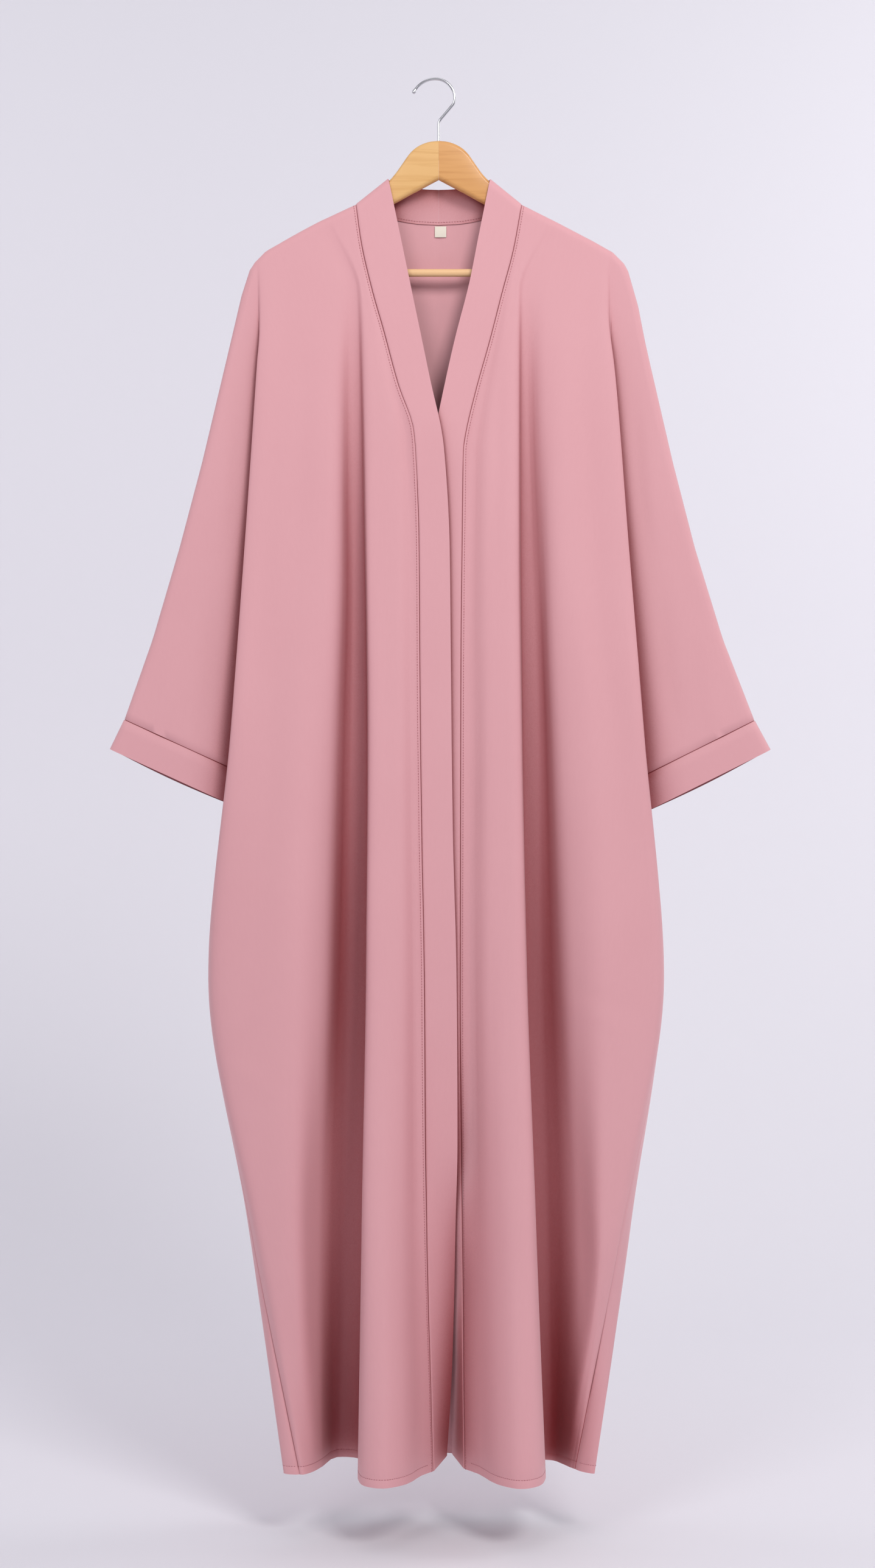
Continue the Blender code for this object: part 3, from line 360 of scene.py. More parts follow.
SIDES = (
    Side("right", -1, RIGHT_RIDGE, RIGHT_NEAR, RIGHT_FOLDS, RIGHT_BAND, RIGHT_CREASE,
         RIGHT_SIDE_SEAM, ((194.5, -565), (202.0, -640), (210.0, -720), (216.3, -801.3)),
         ((360.9, -735.2), (216.3, -801.3)), ((377.3, -769.1), (232.1, -835.6)), RIGHT_WRAP),
    Side("left", 1, LEFT_RIDGE, LEFT_NEAR, LEFT_FOLDS, LEFT_BAND, LEFT_CREASE,
         LEFT_SIDE_SEAM, ((190.5, -565), (199.0, -640), (207.5, -720), (213.9, -810.4)),
         ((362.6, -736.2), (213.9, -810.4)), ((380.8, -769.8), (230.7, -844.4)), LEFT_WRAP),
)

# The columns of the back between the side folds
BACK_SHARES = (
    ShareLine("outer slope", 0.85, (7.8, 11, 15, 24, 33, 42, 43, 46)),
    ShareLine("side crest", 0.70, (7.8, 12, 17, 27, 37, 48, 58, 68)),
    ShareLine("neck corner", 0.525, (8.2, 13, 19, 27, 35, 42, 50, 56)),
    ShareLine("behind the corner", 0.50, (8.2, 13, 19, 27, 34, 41, 49, 55)),
    ShareLine("inside the corner", 0.47, (8.2, 13.5, 19, 26.5, 33.5, 40, 48, 53)),
    ShareLine("hollow", 0.35, (13.5, 18, 21, 26, 32, 37, 43, 48)),
    ShareLine("inner slope", 0.175, (19.5, 22, 24, 29, 36, 43, 50, 57)),
    ShareLine("centre crest", 0.0, (22, 24, 26, 31, 39, 48, 58, 67)),
)
SHOULDER_TOPS = {0.85: 156.0, 0.70: 128.0}
NECK = (
    NeckRow(0.525, 94.9, -143.4, 8.2, 57.8, -113.9),
    NeckRow(0.50, 93.2, -144.8, 8.2, 56.2, -115.0),
    NeckRow(0.47, 89.0, -147.4, 8.2, 52.8, -116.8),
    NeckRow(0.35, 56.0, -157.0, 13.5, 34.0, -120.2),
    NeckRow(0.175, 28.0, -161.3, 19.5, 17.0, -121.3),
    NeckRow(0.0, 0.0, -162.5, 22.0, 0.0, -121.5),
)

# The wood's bare middle: distance from the centre, top and underside
WOOD_MIDDLE = (
    (0.15, -69.7, -114.7), (12, -71.2, -121.0), (24, -76.2, -127.5), (32.6, -83.4, -132.0),
    (42.4, -97.0, -137.5), (50, -107.6, -141.5),
)
# The wood under the cloth: distance, underside and share of the full thickness. Its top
# keeps clear of the shoulder line.
WOOD_ARM = (
    (59.2, -146.5, 1.0), (76, -159.5, 1.0), (94.9, -173.0, 1.0), (116.8, -186.5, 1.0),
    (138.7, -198.0, 1.0), (155, -207.5, 1.0), (171.2, -216.5, 1.0), (185, -226.0, 1.0),
    (198.5, -231.5, 1.0), (206, -232.5, 0.85), (210.0, -231.0, 0.6), (212.2, -228.5, 0.35),
)
WOOD_CORNER_POINTS = 8


@dataclass(frozen=True)
class HookBend:
    """One bend of the hook: it turns by degrees at a radius, or runs straight."""

    turn: float
    radius: float
    length: float
    steps: int


HOOK_TIP = (-28.7, -13.8)
HOOK_TIP_HEADING = 63.3
HOOK_BENDS = (
    HookBend(-63.3, 28.0, 0.0, 9),
    HookBend(-90.0, 22.0, 0.0, 14),
    HookBend(-40.0, 14.0, 0.0, 6),
    HookBend(0.0, 0.0, 20.1, 2),
    HookBend(40.0, 9.0, 0.0, 5),
)
HOOK_SIDES = 20
HOOK_TIP_BULB = ((-1.6, 0.9), (-0.9, 1.9), (0.3, 2.3), (1.7, 2.1), (2.9, 1.7))

# Small creases of the front, by where they show in the front view
FRONT_CREASES = (
    Crease(((-78, -330), (-80, -600), (-79, -900), (-76, -1150)), 4.5, 0.9, 0.3),
    Crease(((-84, -480), (-84, -760), (-83, -1000)), 3.5, -0.8, 0.3),
    Crease(((-108, -230), (-104, -420), (-101, -620)), 9.0, -1.6, 0.4),
    Crease(((-128, -280), (-124, -520), (-126, -800)), 14.0, 1.6, 0.4),
    Crease(((-150, -240), (-160, -480), (-168, -760)), 12.0, -1.5, 0.4),
    Crease(((-176, -520), (-190, -800), (-205, -1060)), 11.0, -1.4, 0.4),
    Crease(((-225, -1062), (-200, -1052), (-168, -1040)), 5.0, -1.3, 0.5),
    Crease(((-219, -1075), (-196, -1062), (-172, -1052)), 6.0, 1.1, 0.5),
    Crease(((-235, -1120), (-205, -1150), (-180, -1165)), 9.0, 1.1, 0.5),
    Crease(((-160, -1260), (-168, -1380), (-166, -1480)), 10.0, -1.4, 0.4),
    Crease(((105, -230), (104, -420), (104, -640)), 9.0, -1.8, 0.4),
    Crease(((70, -300), (68, -460), (56, -600)), 8.0, -1.2, 0.4),
    Crease(((46, -620), (44, -800), (38, -940)), 7.0, -1.0, 0.4),
    Crease(((120, -320), (119, -560), (117, -760)), 6.0, -0.9, 0.4),
    Crease(((140, -260), (136, -470), (140, -700)), 13.0, 1.5, 0.4),
    Crease(((164, -300), (176, -560), (194, -800)), 11.0, -1.4, 0.4),
    Crease(((134, -1036), (180, -1056), (238, -1078)), 5.0, -1.4, 0.5),
    Crease(((140, -1050), (186, -1070), (232, -1094)), 6.0, 1.1, 0.5),
    Crease(((62, -900), (58, -1150), (62, -1400)), 8.0, -1.2, 0.4),
    Crease(((170, -1270), (174, -1380), (160, -1500)), 10.0, -1.4, 0.4),
    Crease(((-255, -560), (-262, -680), (-282, -800)), 13.0, -1.6, 0.4),
    Crease(((-300, -620), (-312, -720), (-330, -790)), 14.0, 1.4, 0.4),
    Crease(((-228, -330), (-236, -470), (-250, -600)), 9.0, -1.2, 0.4),
    Crease(((250, -540), (262, -680), (286, -800)), 13.0, -1.6, 0.4),
    Crease(((300, -600), (316, -720), (334, -790)), 14.0, 1.4, 0.4),
    Crease(((222, -330), (232, -470), (248, -600)), 9.0, -1.2, 0.4),
)
# Small creases of the back, as uneven as those of the front
BACK_CREASES = (
    Crease(((-60, -200), (-66, -420), (-58, -640)), 12.0, -1.8, 0.4),
    Crease(((24, -190), (20, -400), (28, -680)), 10.0, 1.4, 0.4),
    Crease(((92, -210), (98, -460), (88, -720)), 12.0, -1.6, 0.4),
    Crease(((-132, -260), (-140, -520), (-150, -820)), 13.0, 1.6, 0.4),
    Crease(((150, -260), (158, -540), (170, -860)), 13.0, 1.5, 0.4),
    Crease(((-205, -1080), (-160, -1060), (-112, -1052)), 6.0, -1.4, 0.5),
    Crease(((214, -1066), (170, -1046), (124, -1040)), 6.0, -1.5, 0.5),
    Crease(((-44, -900), (-40, -1180), (-52, -1440)), 9.0, -1.5, 0.4),
    Crease(((66, -960), (72, -1240), (62, -1480)), 9.0, 1.3, 0.4),
    Crease(((-150, -1180), (-146, -1380), (-130, -1520)), 11.0, -1.5, 0.4),
    Crease(((150, -1200), (142, -1400), (128, -1530)), 11.0, 1.4, 0.4),
    Crease(((-252, -540), (-266, -690), (-290, -800)), 13.0, 1.5, 0.4),
    Crease(((-300, -600), (-318, -740), (-336, -790)), 12.0, -1.3, 0.4),
    Crease(((256, -560), (262, -690), (282, -800)), 13.0, 1.5, 0.4),
    Crease(((308, -620), (318, -720), (338, -780)), 12.0, -1.3, 0.4),
)

# Steps of the fine rows and columns
YOKE_STEPS = (0.0, 0.002, 0.006, 0.012, 0.019, 0.027, 0.037, 0.049, 0.064, 0.085, 0.115, 0.15,
              0.19, 0.235, 0.28, 0.325, 0.37, 0.415, 0.46, 0.505, 0.55, 0.595, 0.64, 0.685, 0.73,
              0.775, 0.82, 0.865, 0.91, 0.955)
BODY_STEP = 12.0
HEM_ROWS = (HEM_TURN + 1.2, HEM_TURN, HEM_TURN - 1.2, HEM_TURN / 2, 0.8, 0.0)
FRONT_STEPS = (2, 3, 5, 4, 4, 6, 4, 3, 5, 5, 4, 3, 3, 3)
BACK_STEPS = (3, 3, 3, 5, 5, 6, 7, 2, 2, 5, 7, 7)
ROLL_STEPS = (0.12, 0.3, 0.55, 1.0)
SLEEVE_MIDDLE_STEPS = 22


class Facing(Enum):
    """Which layer of the garment a sheet belongs to."""

    FRONT = -1
    BACK = 1


def clear_start(knots: Knots, values: Knots) -> list[float]:
    """Slopes of a smooth curve that never overshoots its values.

    Args:
        knots: Places of the values, in falling order.
        values: One value for each knot.
    Returns:
        One slope for each knot.
    """
    spans = [b - a for a, b in zip(knots, knots[1:])]
    rates = [(d - c) / span for c, d, span in zip(values, values[1:], spans)]
    slopes = [rates[0]]
    for i in range(1, len(rates)):
        before, after = rates[i - 1], rates[i]
        if before * after <= 0:
            slopes.append(0.0)
        else:
            first = 2 * spans[i] + spans[i - 1]
            second = spans[i] + 2 * spans[i - 1]
            slopes.append((first + second) / (first / before + second / after))
    return slopes + [rates[-1]]


def flow(knots: Knots, values: Knots, at: float) -> float:
    """Read the smooth curve through falling knots at one place.

    Args:
        knots: Places of the values, in falling order.
        values: One value for each knot.
        at: The place to read.
    Returns:
        The value there.
    """
    if at >= knots[0]:
        return values[0]
    if at <= knots[-1]:
        return values[-1]
    i = next(k for k in range(len(knots) - 1) if at >= knots[k + 1])
    slopes = clear_start(knots, values)
    span = knots[i + 1] - knots[i]
    t = (at - knots[i]) / span
    return ((2 * t ** 3 - 3 * t ** 2 + 1) * values[i] + (t ** 3 - 2 * t ** 2 + t) * span * slopes[i]
            + (3 * t ** 2 - 2 * t ** 3) * values[i + 1] + (t ** 3 - t ** 2) * span * slopes[i + 1])


def mix(a: float, b: float, share: float) -> float:
    """Value between two numbers."""
    return a + (b - a) * share


def ease(share: float) -> float:
    """Share that starts and ends gently, held between 0 and 1."""
    held = min(1.0, max(0.0, share))
    return held * held * (3 - 2 * held)


def nearest_on_line(x: float, z: float, line: Sequence[tuple[float, float]]) -> tuple[float, float]:
    """Distance from a point to a broken line, and how far along the line that is.

    Args:
        x: Place across.
        z: Height.
        line: Points of the line.
    Returns:
        The distance, and the share of the line's length that is passed.
    """
    lengths = [math.hypot(b[0] - a[0], b[1] - a[1]) for a, b in zip(line, line[1:])]
    total = sum(lengths)
    best, place, passed = 1e9, 0.0, 0.0
    for (x0, z0), (x1, z1), length in zip(line, line[1:], lengths):
        dx, dz = x1 - x0, z1 - z0
        t = min(1.0, max(0.0, ((x - x0) * dx + (z - z0) * dz) / (length * length)))
        distance = math.hypot(x - x0 - t * dx, z - z0 - t * dz)
        if distance < best:
            best, place = distance, (passed + t * length) / total
        passed += length
    return best, place


def roll_share(distance: float, radius: float = ROLL) -> float:
    """How far out the cloth has come at a distance from the ridge it rolls over."""
    return math.sqrt(1.0 - (1.0 - min(1.0, distance / radius)) ** 2)


def curve_between(a: Vector, b: Vector, c: Vector, d: Vector, t: float) -> Vector:
    """Point of the even curve from b to c, with a before and d after them.

    Args:
        a: Point before the span.
        b: Start of the span.
        c: End of the span.
        d: Point after the span.
        t: Share of the span.
    Returns:
        The point.
    """
    k0 = 0.0
    k1 = k0 + max(1e-4, math.sqrt((b - a).length))
    k2 = k1 + max(1e-4, math.sqrt((c - b).length))
    k3 = k2 + max(1e-4, math.sqrt((d - c).length))
    at = k1 + (k2 - k1) * t
    p = a * ((k1 - at) / (k1 - k0)) + b * ((at - k0) / (k1 - k0))
    q = b * ((k2 - at) / (k2 - k1)) + c * ((at - k1) / (k2 - k1))
    r = c * ((k3 - at) / (k3 - k2)) + d * ((at - k2) / (k3 - k2))
    u = p * ((k2 - at) / (k2 - k0)) + q * ((at - k0) / (k2 - k0))
    v = q * ((k3 - at) / (k3 - k1)) + r * ((at - k1) / (k3 - k1))
    return u * ((k2 - at) / (k2 - k1)) + v * ((at - k1) / (k2 - k1))


def smooth_row(points: Sequence[Vector], steps: Sequence[int]) -> list[Vector]:
    """Even curve through a row of points.

    Args:
        points: The row's own points.
        steps: How many parts each span is cut into.
    Returns:
        The finer row.
    """
    row = []
    last = len(points) - 1
    for i, count in enumerate(steps):
        before = points[i - 1] if i > 0 else points[0] * 2 - points[1]
        after = points[i + 2] if i + 2 <= last else points[last] * 2 - points[last - 1]
        for k in range(count):
            row.append(curve_between(before, points[i], points[i + 1], after, k / count))
    row.append(points[last].copy())
    return row


class Drape:
    """Where one side of the cloth hangs, at any level.

    A level from 0 to 1 is a share of the way from the shoulder line to the base of the
    yoke. A level below zero is a height in millimetres.
    """

    def __init__(self, side: Side) -> None:
        """Keep the side's tables."""
        self.side = side
        self.corner = side.ridge[6]

    def ridge_height(self, across: float) -> float:
        """Height of the shoulder line above a distance from the centre."""
        for (x0, z0), (x1, z1) in zip(self.side.ridge, self.side.ridge[1:]):
            if x0 <= across <= x1:
                return mix(z0, z1, (across - x0) / (x1 - x0))
        return self.side.ridge[0][1]

    @staticmethod
    def height(level: float, top: float) -> float:
        """Height of a level in a column that starts at a given top."""
        return mix(top, YOKE_BASE, level) if level >= 0 else level

    @staticmethod
    def knots(top: float) -> tuple[float, ...]:
        """Heights of a fold line's eight values."""
        return (top, mix(top, YOKE_BASE, 0.5)) + TABLE_HEIGHTS

    def point(self, across: float, height: float, depth: float) -> Vector:
        """Point in the part's frame, in millimetres."""
        return Vector((self.side.sign * across, depth, height))

    def rolled(self, across: float, height: float, depth: float) -> Place:
        """Place on a layer of cloth, drawn in where it rolls over the shoulder or sleeve edge."""
        distance = nearest_on_line(across, height, self.side.ridge)[0]
        return Place(across, height, depth * roll_share(distance))

    def band(self, height: float) -> tuple[Place, Place]:
        """Seam and free edge of the band at the height of its seam."""
        rows = self.side.band
        knots = [row.height for row in rows]
        across, depth, free_across, free_rise, free_depth = (
            flow(knots, [getattr(row, name) for row in rows], height)
            for name in ("across", "depth", "free_across", "free_rise", "free_depth"))
        return (self.rolled(across, height, depth),
                self.rolled(free_across, height + free_rise, free_depth))

    def fold(self, line: FoldLine, level: float) -> Place:
        """Place of a fold line at one level."""
        top = self.ridge_height(line.across[0])
        height = self.height(level, top)
        knots = self.knots(top)
        return self.rolled(flow(knots, line.across, height), height, flow(knots, line.depth, height))

    def front_row(self, level: float) -> list[Place]:
        """Places of the front from the band's seam to the edge behind the side fold."""
        side = self.side
        seam_top = side.band[0].height
        seam = self.band(self.height(level, seam_top))[0]
        folds = [self.fold(line, level) for line in side.folds]
        crest_top = self.ridge_height(side.folds[0].across[0])
        near = []
        for line in side.near:
            across = mix(seam.across, folds[0].across, line.share)
            if level == 0:
                near.append(Place(across, self.ridge_height(across), 0.0))
                continue
            height = mix(seam.height, folds[0].height, line.share)
            top = mix(seam_top, crest_top, line.share)
            near.append(self.rolled(across, height, flow(self.knots(top), line.depth, height)))
        return [seam] + near + folds

    def crease(self, level: float) -> tuple[Place, Place, float]:
        """Front and sleeve edges of the crease above the underarm, and the sleeve's depth."""
        rows = self.side.crease
        top = self.ridge_height(rows[0].across)
        knots = [top] + [row.height for row in rows[1:]]
        height = self.height(level, top)
        across, depth, sleeve_across, sleeve_depth = (
            flow(knots, [getattr(row, name) for row in rows], height)
            for name in ("across", "depth", "sleeve_across", "sleeve_depth"))
        sleeve_height = self.height(level, self.ridge_height(rows[0].sleeve_across))
        return (self.rolled(across, height, depth),
                self.rolled(sleeve_across, sleeve_height, sleeve_depth), -sleeve_depth)

    def side_seam(self, level: float) -> Place:
        """The seam between front and back below the underarm."""
        places = self.side.side_seam
        knots = [place.height for place in places]
        return Place(flow(knots, [p.across for p in places], level), level,
                     flow(knots, [p.depth for p in places], level))

    def sleeve_row(self, level: float, facing: Facing) -> list[Place]:
        """Places of one sleeve layer from its inner to its outer edge.

        Args:
            level: Level of the inner edge.
            facing: Front or back layer.
        Returns:
            The places.
        """
        side = self.side
        first_height = self.crease(0.0)[1].height
        inner_depth = 0.0
        if level >= UNDERARM:
            inner, inner_depth = self.crease(level)[1:]
        else:
            knots = [p[1] for p in side.under_seam]
            inner = Place(flow(knots, [p[0] for p in side.under_seam], level), level, 0.0)
        end = side.ridge[-1]
        done = (inner.height - first_height) / (side.cuff_seam[1][1] - first_height)
        outer_height = mix(self.corner[1], end[1], done)
        line = side.ridge[6:]
        outer_across = next(mix(a[0], b[0], (outer_height - a[1]) / (b[1] - a[1]))
                            for a, b in zip(line, line[1:]) if outer_height >= b[1] - 1e-6)
        chord = math.hypot(outer_across - inner.across, outer_height - inner.height)
        roll_in = min(UNDER_ROLL, 0.15 * chord) / chord
        roll_out = min(ROLL, 0.45 * chord) / chord
        shares = [roll_in * step for step in ROLL_STEPS]
        shares += [mix(roll_in, 1 - roll_out, k / SLEEVE_MIDDLE_STEPS)
                   for k in range(1, SLEEVE_MIDDLE_STEPS)]
        shares += [1 - roll_out * step for step in reversed(ROLL_STEPS)]
        half = mix(SLEEVE_HALF_DEPTH[0], SLEEVE_HALF_DEPTH[1], done)
        depth = inner.depth if facing is Facing.FRONT else -inner.depth
        places = [Place(inner.across, inner.height, depth)]
        for share in shares:
            across = mix(inner.across, outer_across, share)
            height = mix(inner.height, outer_height, share)
            if level == 0:
                places.append(Place(across, self.ridge_height(across), 0.0))
                continue
            start = UNDER_HALF_DEPTH * roll_share(share * chord, UNDER_ROLL)
            depth = mix(max(start, inner_depth), half, ease(share * chord / SLEEVE_SWELL))
            places.append(self.rolled(across, height, facing.value * depth))
        places.append(Place(outer_across, outer_height, 0.0))
        return places

    def back_row(self, level: float) -> list[Place]:
        """Places of the back from the side fold's hidden edge to the centre."""
        places = [self.fold(line, level) for line in self.side.wrap]
        for line in BACK_SHARES:
            neck = next((entry for entry in NECK if entry.share == line.share), None)
            if neck:
                top_across, top = neck.across, neck.height
            else:
                top_across = SHOULDER_TOPS[line.share]
                top = self.ridge_height(top_across)
            height = self.height(level, top)
            knots = self.knots(top)
            reach = self.side.wrap[-1].across
            across = (top_across,) + tuple(line.share * value for value in reach[1:])
            places.append(self.rolled(flow(knots, across, height), height,
                                      flow(knots, line.depth, height)))
        return places

    def vector(self, place: Place) -> Vector:
        """The place's point in the part's frame, in millimetres."""
        return self.point(place.across, place.height, place.depth)

    def band_direction(self, level: float) -> Vector:
        """Direction from the band's seam to its free edge at one level of the front."""
        seam, free = self.band(self.height(level, self.side.band[0].height))
        return (self.vector(free) - self.vector(seam)).normalized()

    def neck_places(self, neck: NeckRow) -> tuple[Place, Place]:
        """Seam and free edge of the band at one place of the back's neck."""
        return (self.rolled(neck.across, neck.height, neck.depth),
                self.rolled(neck.free_across, neck.free_height, neck.depth))

    def cuff_direction(self) -> Vector:
        """Direction along the sleeve, from the seam of the cuff towards its open edge."""
        seam, edge = self.side.cuff_seam[0], self.side.cuff_edge[0]
        return Vector((self.side.sign * (edge[0] - seam[0]), 0.0, edge[1] - seam[1])).normalized()

    def side_seam_direction(self, level: float) -> Vector:
        """Direction across the side seam, from the front to the back."""
        front = self.front_row(level)[-1]
        back = self.back_row(level)[0]
        return (self.vector(back) - self.vector(front)).normalized()


def creased(point: Vector, creases: Iterable[Crease]) -> float:
    """How far the small creases push a point outwards, in millimetres.

    Args:
        point: The point, in millimetres.
        creases: The creases of its layer.
    Returns:
        The rise.
    """
    rise = 0.0
    for crease in creases:
        xs = [p[0] for p in crease.line]
        zs = [p[1] for p in crease.line]
        margin = 3 * crease.reach
        if not (min(xs) - margin < point.x < max(xs) + margin
                and min(zs) - margin < point.z < max(zs) + margin):
            continue
        distance, along = nearest_on_line(point.x, point.z, crease.line)
        fade = ease(along / crease.taper) * ease((1 - along) / crease.taper)
        rise += crease.rise * fade * math.exp(-(distance / crease.reach) ** 2)
    return rise


Key = tuple[Union[str, int], int, int]


class Sheet:
    """A surface of quads that is given a wall, with square rims along its seams."""

    def __init__(self) -> None:
        """Start with no points."""
        self.keys: dict[Key, int] = {}
        self.points: list[Vector] = []
        self.spots: list[tuple[float, float]] = []
        self.faces: list[list[int]] = []
        self.rims: dict[int, list[Vector]] = {}
        self.rises: dict[int, float] = {}

    def put(self, key: Key, point: Vector, spot: tuple[float, float]) -> None:
        """Add a point, in millimetres, with its place on the flat cloth."""
        self.keys[key] = len(self.points)
        self.points.append(point)
        self.spots.append(spot)

    def cell(self, corners: Sequence[Key], turned: bool) -> None:
        """Add a quad, turned over where asked."""
        face = [self.keys[key] for key in corners]
        self.faces.append(face[::-1] if turned else face)

    def rim(self, key: Key, direction: Vector) -> None:
        """Hold a point back from a seam that it faces in a direction."""
        self.rims.setdefault(self.keys[key], []).append(direction)

    def rise(self, key: Key, amount: float) -> None:
        """Push a point along its normal."""
        self.rises[self.keys[key]] = self.rises.get(self.keys[key], 0.0) + amount

    def normals(self) -> list[Vector]:
        """Normals averaged by area, square to the seams at the rims."""
        sums = [Vector((0, 0, 0)) for _ in self.points]
        for face in self.faces:
            a, b, c, d = (self.points[i] for i in face)
            normal = (c - a).cross(d - b)
            for i in face:
                sums[i] += normal
        for i, directions in self.rims.items():
            for direction in directions:
                sums[i] -= direction * sums[i].dot(direction)
        return [item.normalized() for item in sums]

    def settle(self) -> None:
        """Move the pushed points and draw the seams in."""
        normals = self.normals()
        for i, amount in self.rises.items():
            self.points[i] = self.points[i] + normals[i] * amount
        for i, directions in self.rims.items():
            for direction in directions:
                self.points[i] = self.points[i] - direction * (SEAM_GAP / 2)

    def outer(self, keys: Iterable[Key], wall: float, lift: float = 0.0) -> list[Vector]:
        """Points of the outer face, in metres.

        Args:
            keys: Which points.
            wall: The cloth's wall, in millimetres.
            lift: Height above the face, in millimetres.
        Returns:
            The points.
        """
        normals = self.normals()
        return [(self.points[self.keys[key]] + normals[self.keys[key]] * (wall / 2 + lift)) * MM
                for key in keys]

    def solid(self, name: str, wall: float, finish: bpy.types.Material,
              sharp: float = 60.0) -> bpy.types.Object:
        """Turn the surface into a named closed shell with a UV map in metres.

        Args:
            name: Name of the piece.
            wall: The cloth's wall, in millimetres.
            finish: Material.
            sharp: Angle in degrees past which an edge is sharp.
        Returns:
            The piece.
        """
        normals = self.normals()
        count = len(self.points)
        verts = [(p + n * wall / 2) * MM for p, n in zip(self.points, normals)]
        verts += [(p - n * wall / 2) * MM for p, n in zip(self.points, normals)]
        faces = [list(face) for face in self.faces]
        faces += [[i + count for i in reversed(face)] for face in self.faces]
        edges = {(a, b) for face in self.faces for a, b in zip(face, face[1:] + face[:1])}
        for a, b in sorted(edges):
            if (b, a) not in edges:
                faces.append([b, a, a + count, b + count])
        spots = self.spots * 2
        return make_piece(name, verts, faces, finish, spots, sharp)


def make_piece(name: str, verts: Sequence[Vector], faces: Sequence[Sequence[int]],
               finish: bpy.types.Material, spots: Sequence[tuple[float, float]] | None = None,
               sharp: float = 40.0) -> bpy.types.Object:
    """Smooth mesh object with outward faces.

    Args:
        name: Name of the piece.
        verts: Points, in metres.
        faces: Corners of each face.
        finish: Material.
        spots: Places on the flat cloth, in metres, for the UV map.
        sharp: Angle in degrees past which an edge is sharp.
    Returns:
        The piece.
    """
    mesh = bpy.data.meshes.new(name)
    mesh.from_pydata([tuple(v) for v in verts], [], [list(face) for face in faces])
    work = bmesh.new()
    work.from_mesh(mesh)
    bmesh.ops.recalc_face_normals(work, faces=work.faces)
    if spots:
        layer = work.loops.layers.uv.new("cloth")
        for face in work.faces:
            for loop in face.loops:
                loop[layer].uv = spots[loop.vert.index]
    work.to_mesh(mesh)
    work.free()
    mesh.materials.append(finish)
    mesh.shade_smooth()
    mesh.set_sharp_from_angle(angle=math.radians(sharp))
    piece = bpy.data.objects.new(name, mesh)
    bpy.context.scene.collection.objects.link(piece)
    return piece


def own(piece: bpy.types.Object, slot: str, *nodes: str) -> None:
    """Let a piece ride on the part and stand for nodes, whose solids are hidden."""
    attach(piece, "root")
    if nodes:
        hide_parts(*nodes)
    LOG.info("%s: %d faces", piece.name, len(piece.data.polygons))


class Value:
    """A shader socket that takes part in sums and products."""

    def __init__(self, tree: "Shading", socket: Union[bpy.types.NodeSocket, float]) -> None:
        """Wrap one output socket of a tree, or a number."""
        self.tree = tree
        self.socket = socket

    def _math(self, kind: str, *values: Union["Value", float]) -> "Value":
        """Add one Math node."""
        return self.tree.node("ShaderNodeMath", {"operation": kind}, dict(enumerate(values)))

    def __add__(self, other: Union["Value", float]) -> "Value":
        """Sum."""
        return self._math("ADD", self, other)

    def __mul__(self, other: Union["Value", float]) -> "Value":
        """Product."""
        return self._math("MULTIPLY", self, other)

    def sine(self) -> "Value":
        """Sine."""
        return self._math("SINE", self)


class Shading:
    """A material's node tree with one Principled shader."""

    def __init__(self, name: str, colour: Sequence[float], roughness: float,
                 constants: dict[str, object] | None = None) -> None:
        """Make the material and set what is the same all over it.

        Args:
            name: Name of the material.
            colour: Base colour, linear.
            roughness: Roughness.
            constants: Values of other sockets by name.
        """
        self.material = bpy.data.materials.new(name)
        self.material.use_nodes = True
        self.nodes = self.material.node_tree.nodes
        self.links = self.material.node_tree.links
        self.shader = self.nodes["Principled BSDF"]
        self.shader.inputs["Base Color"].default_value = (*colour, 1.0)
        self.shader.inputs["Roughness"].default_value = roughness
        for key, value in (constants or {}).items():
            self.shader.inputs[key].default_value = value

    def node(self, kind: str, settings: dict[str, object] | None = None,
             inputs: dict[Union[int, str], object] | None = None,
             output: Union[int, str] = 0) -> Value:
        """Add any node.

        Args:
            kind: The node's type.
            settings: Its properties, which are set first; "stops" fills a ramp.
            inputs: Numbers, colours or Values for its sockets, by place or name.
            output: Which output to give back.
        Returns:
            That output.
        """
        made = self.nodes.new(kind)
        for key, value in (settings or {}).items():
            if key == "stops":
                self._fill_ramp(made, value)
            else:
                setattr(made, key, value)
        for key, value in (inputs or {}).items():
            if isinstance(value, Value):
                self.links.new(value.socket, made.inputs[key])
            else:
                made.inputs[key].default_value = value
        return Value(self, made.outputs[output])

    @staticmethod
    def _fill_ramp(node: bpy.types.Node, stops: Sequence[tuple[float, Sequence[float]]]) -> None:
        """Set a ramp's stops from (place, colour) pairs."""
        elements = node.color_ramp.elements
        while len(elements) < len(stops):
            elements.new(1.0)
        for element, (place, colour) in zip(elements, stops):
            element.position = place
            element.color = (*colour, 1.0)

    def mixed(self, factor: Value, first: object, second: object) -> Value:
        """Colour between two others."""
        return self.node("ShaderNodeMix", {"data_type": "RGBA"}, {0: factor, 6: first, 7: second}, 2)

    def feed(self, socket: str, value: Value) -> None:
        """Link a value to one of the shader's sockets."""
        self.links.new(value.socket, self.shader.inputs[socket])

    def bump(self, height: Value, distance: float, strength: float) -> None:
        """Feed a relief to the shader's normal."""
        self.feed("Normal", self.node("ShaderNodeBump", None, {
            "Strength": strength, "Distance": distance, "Height": height}))


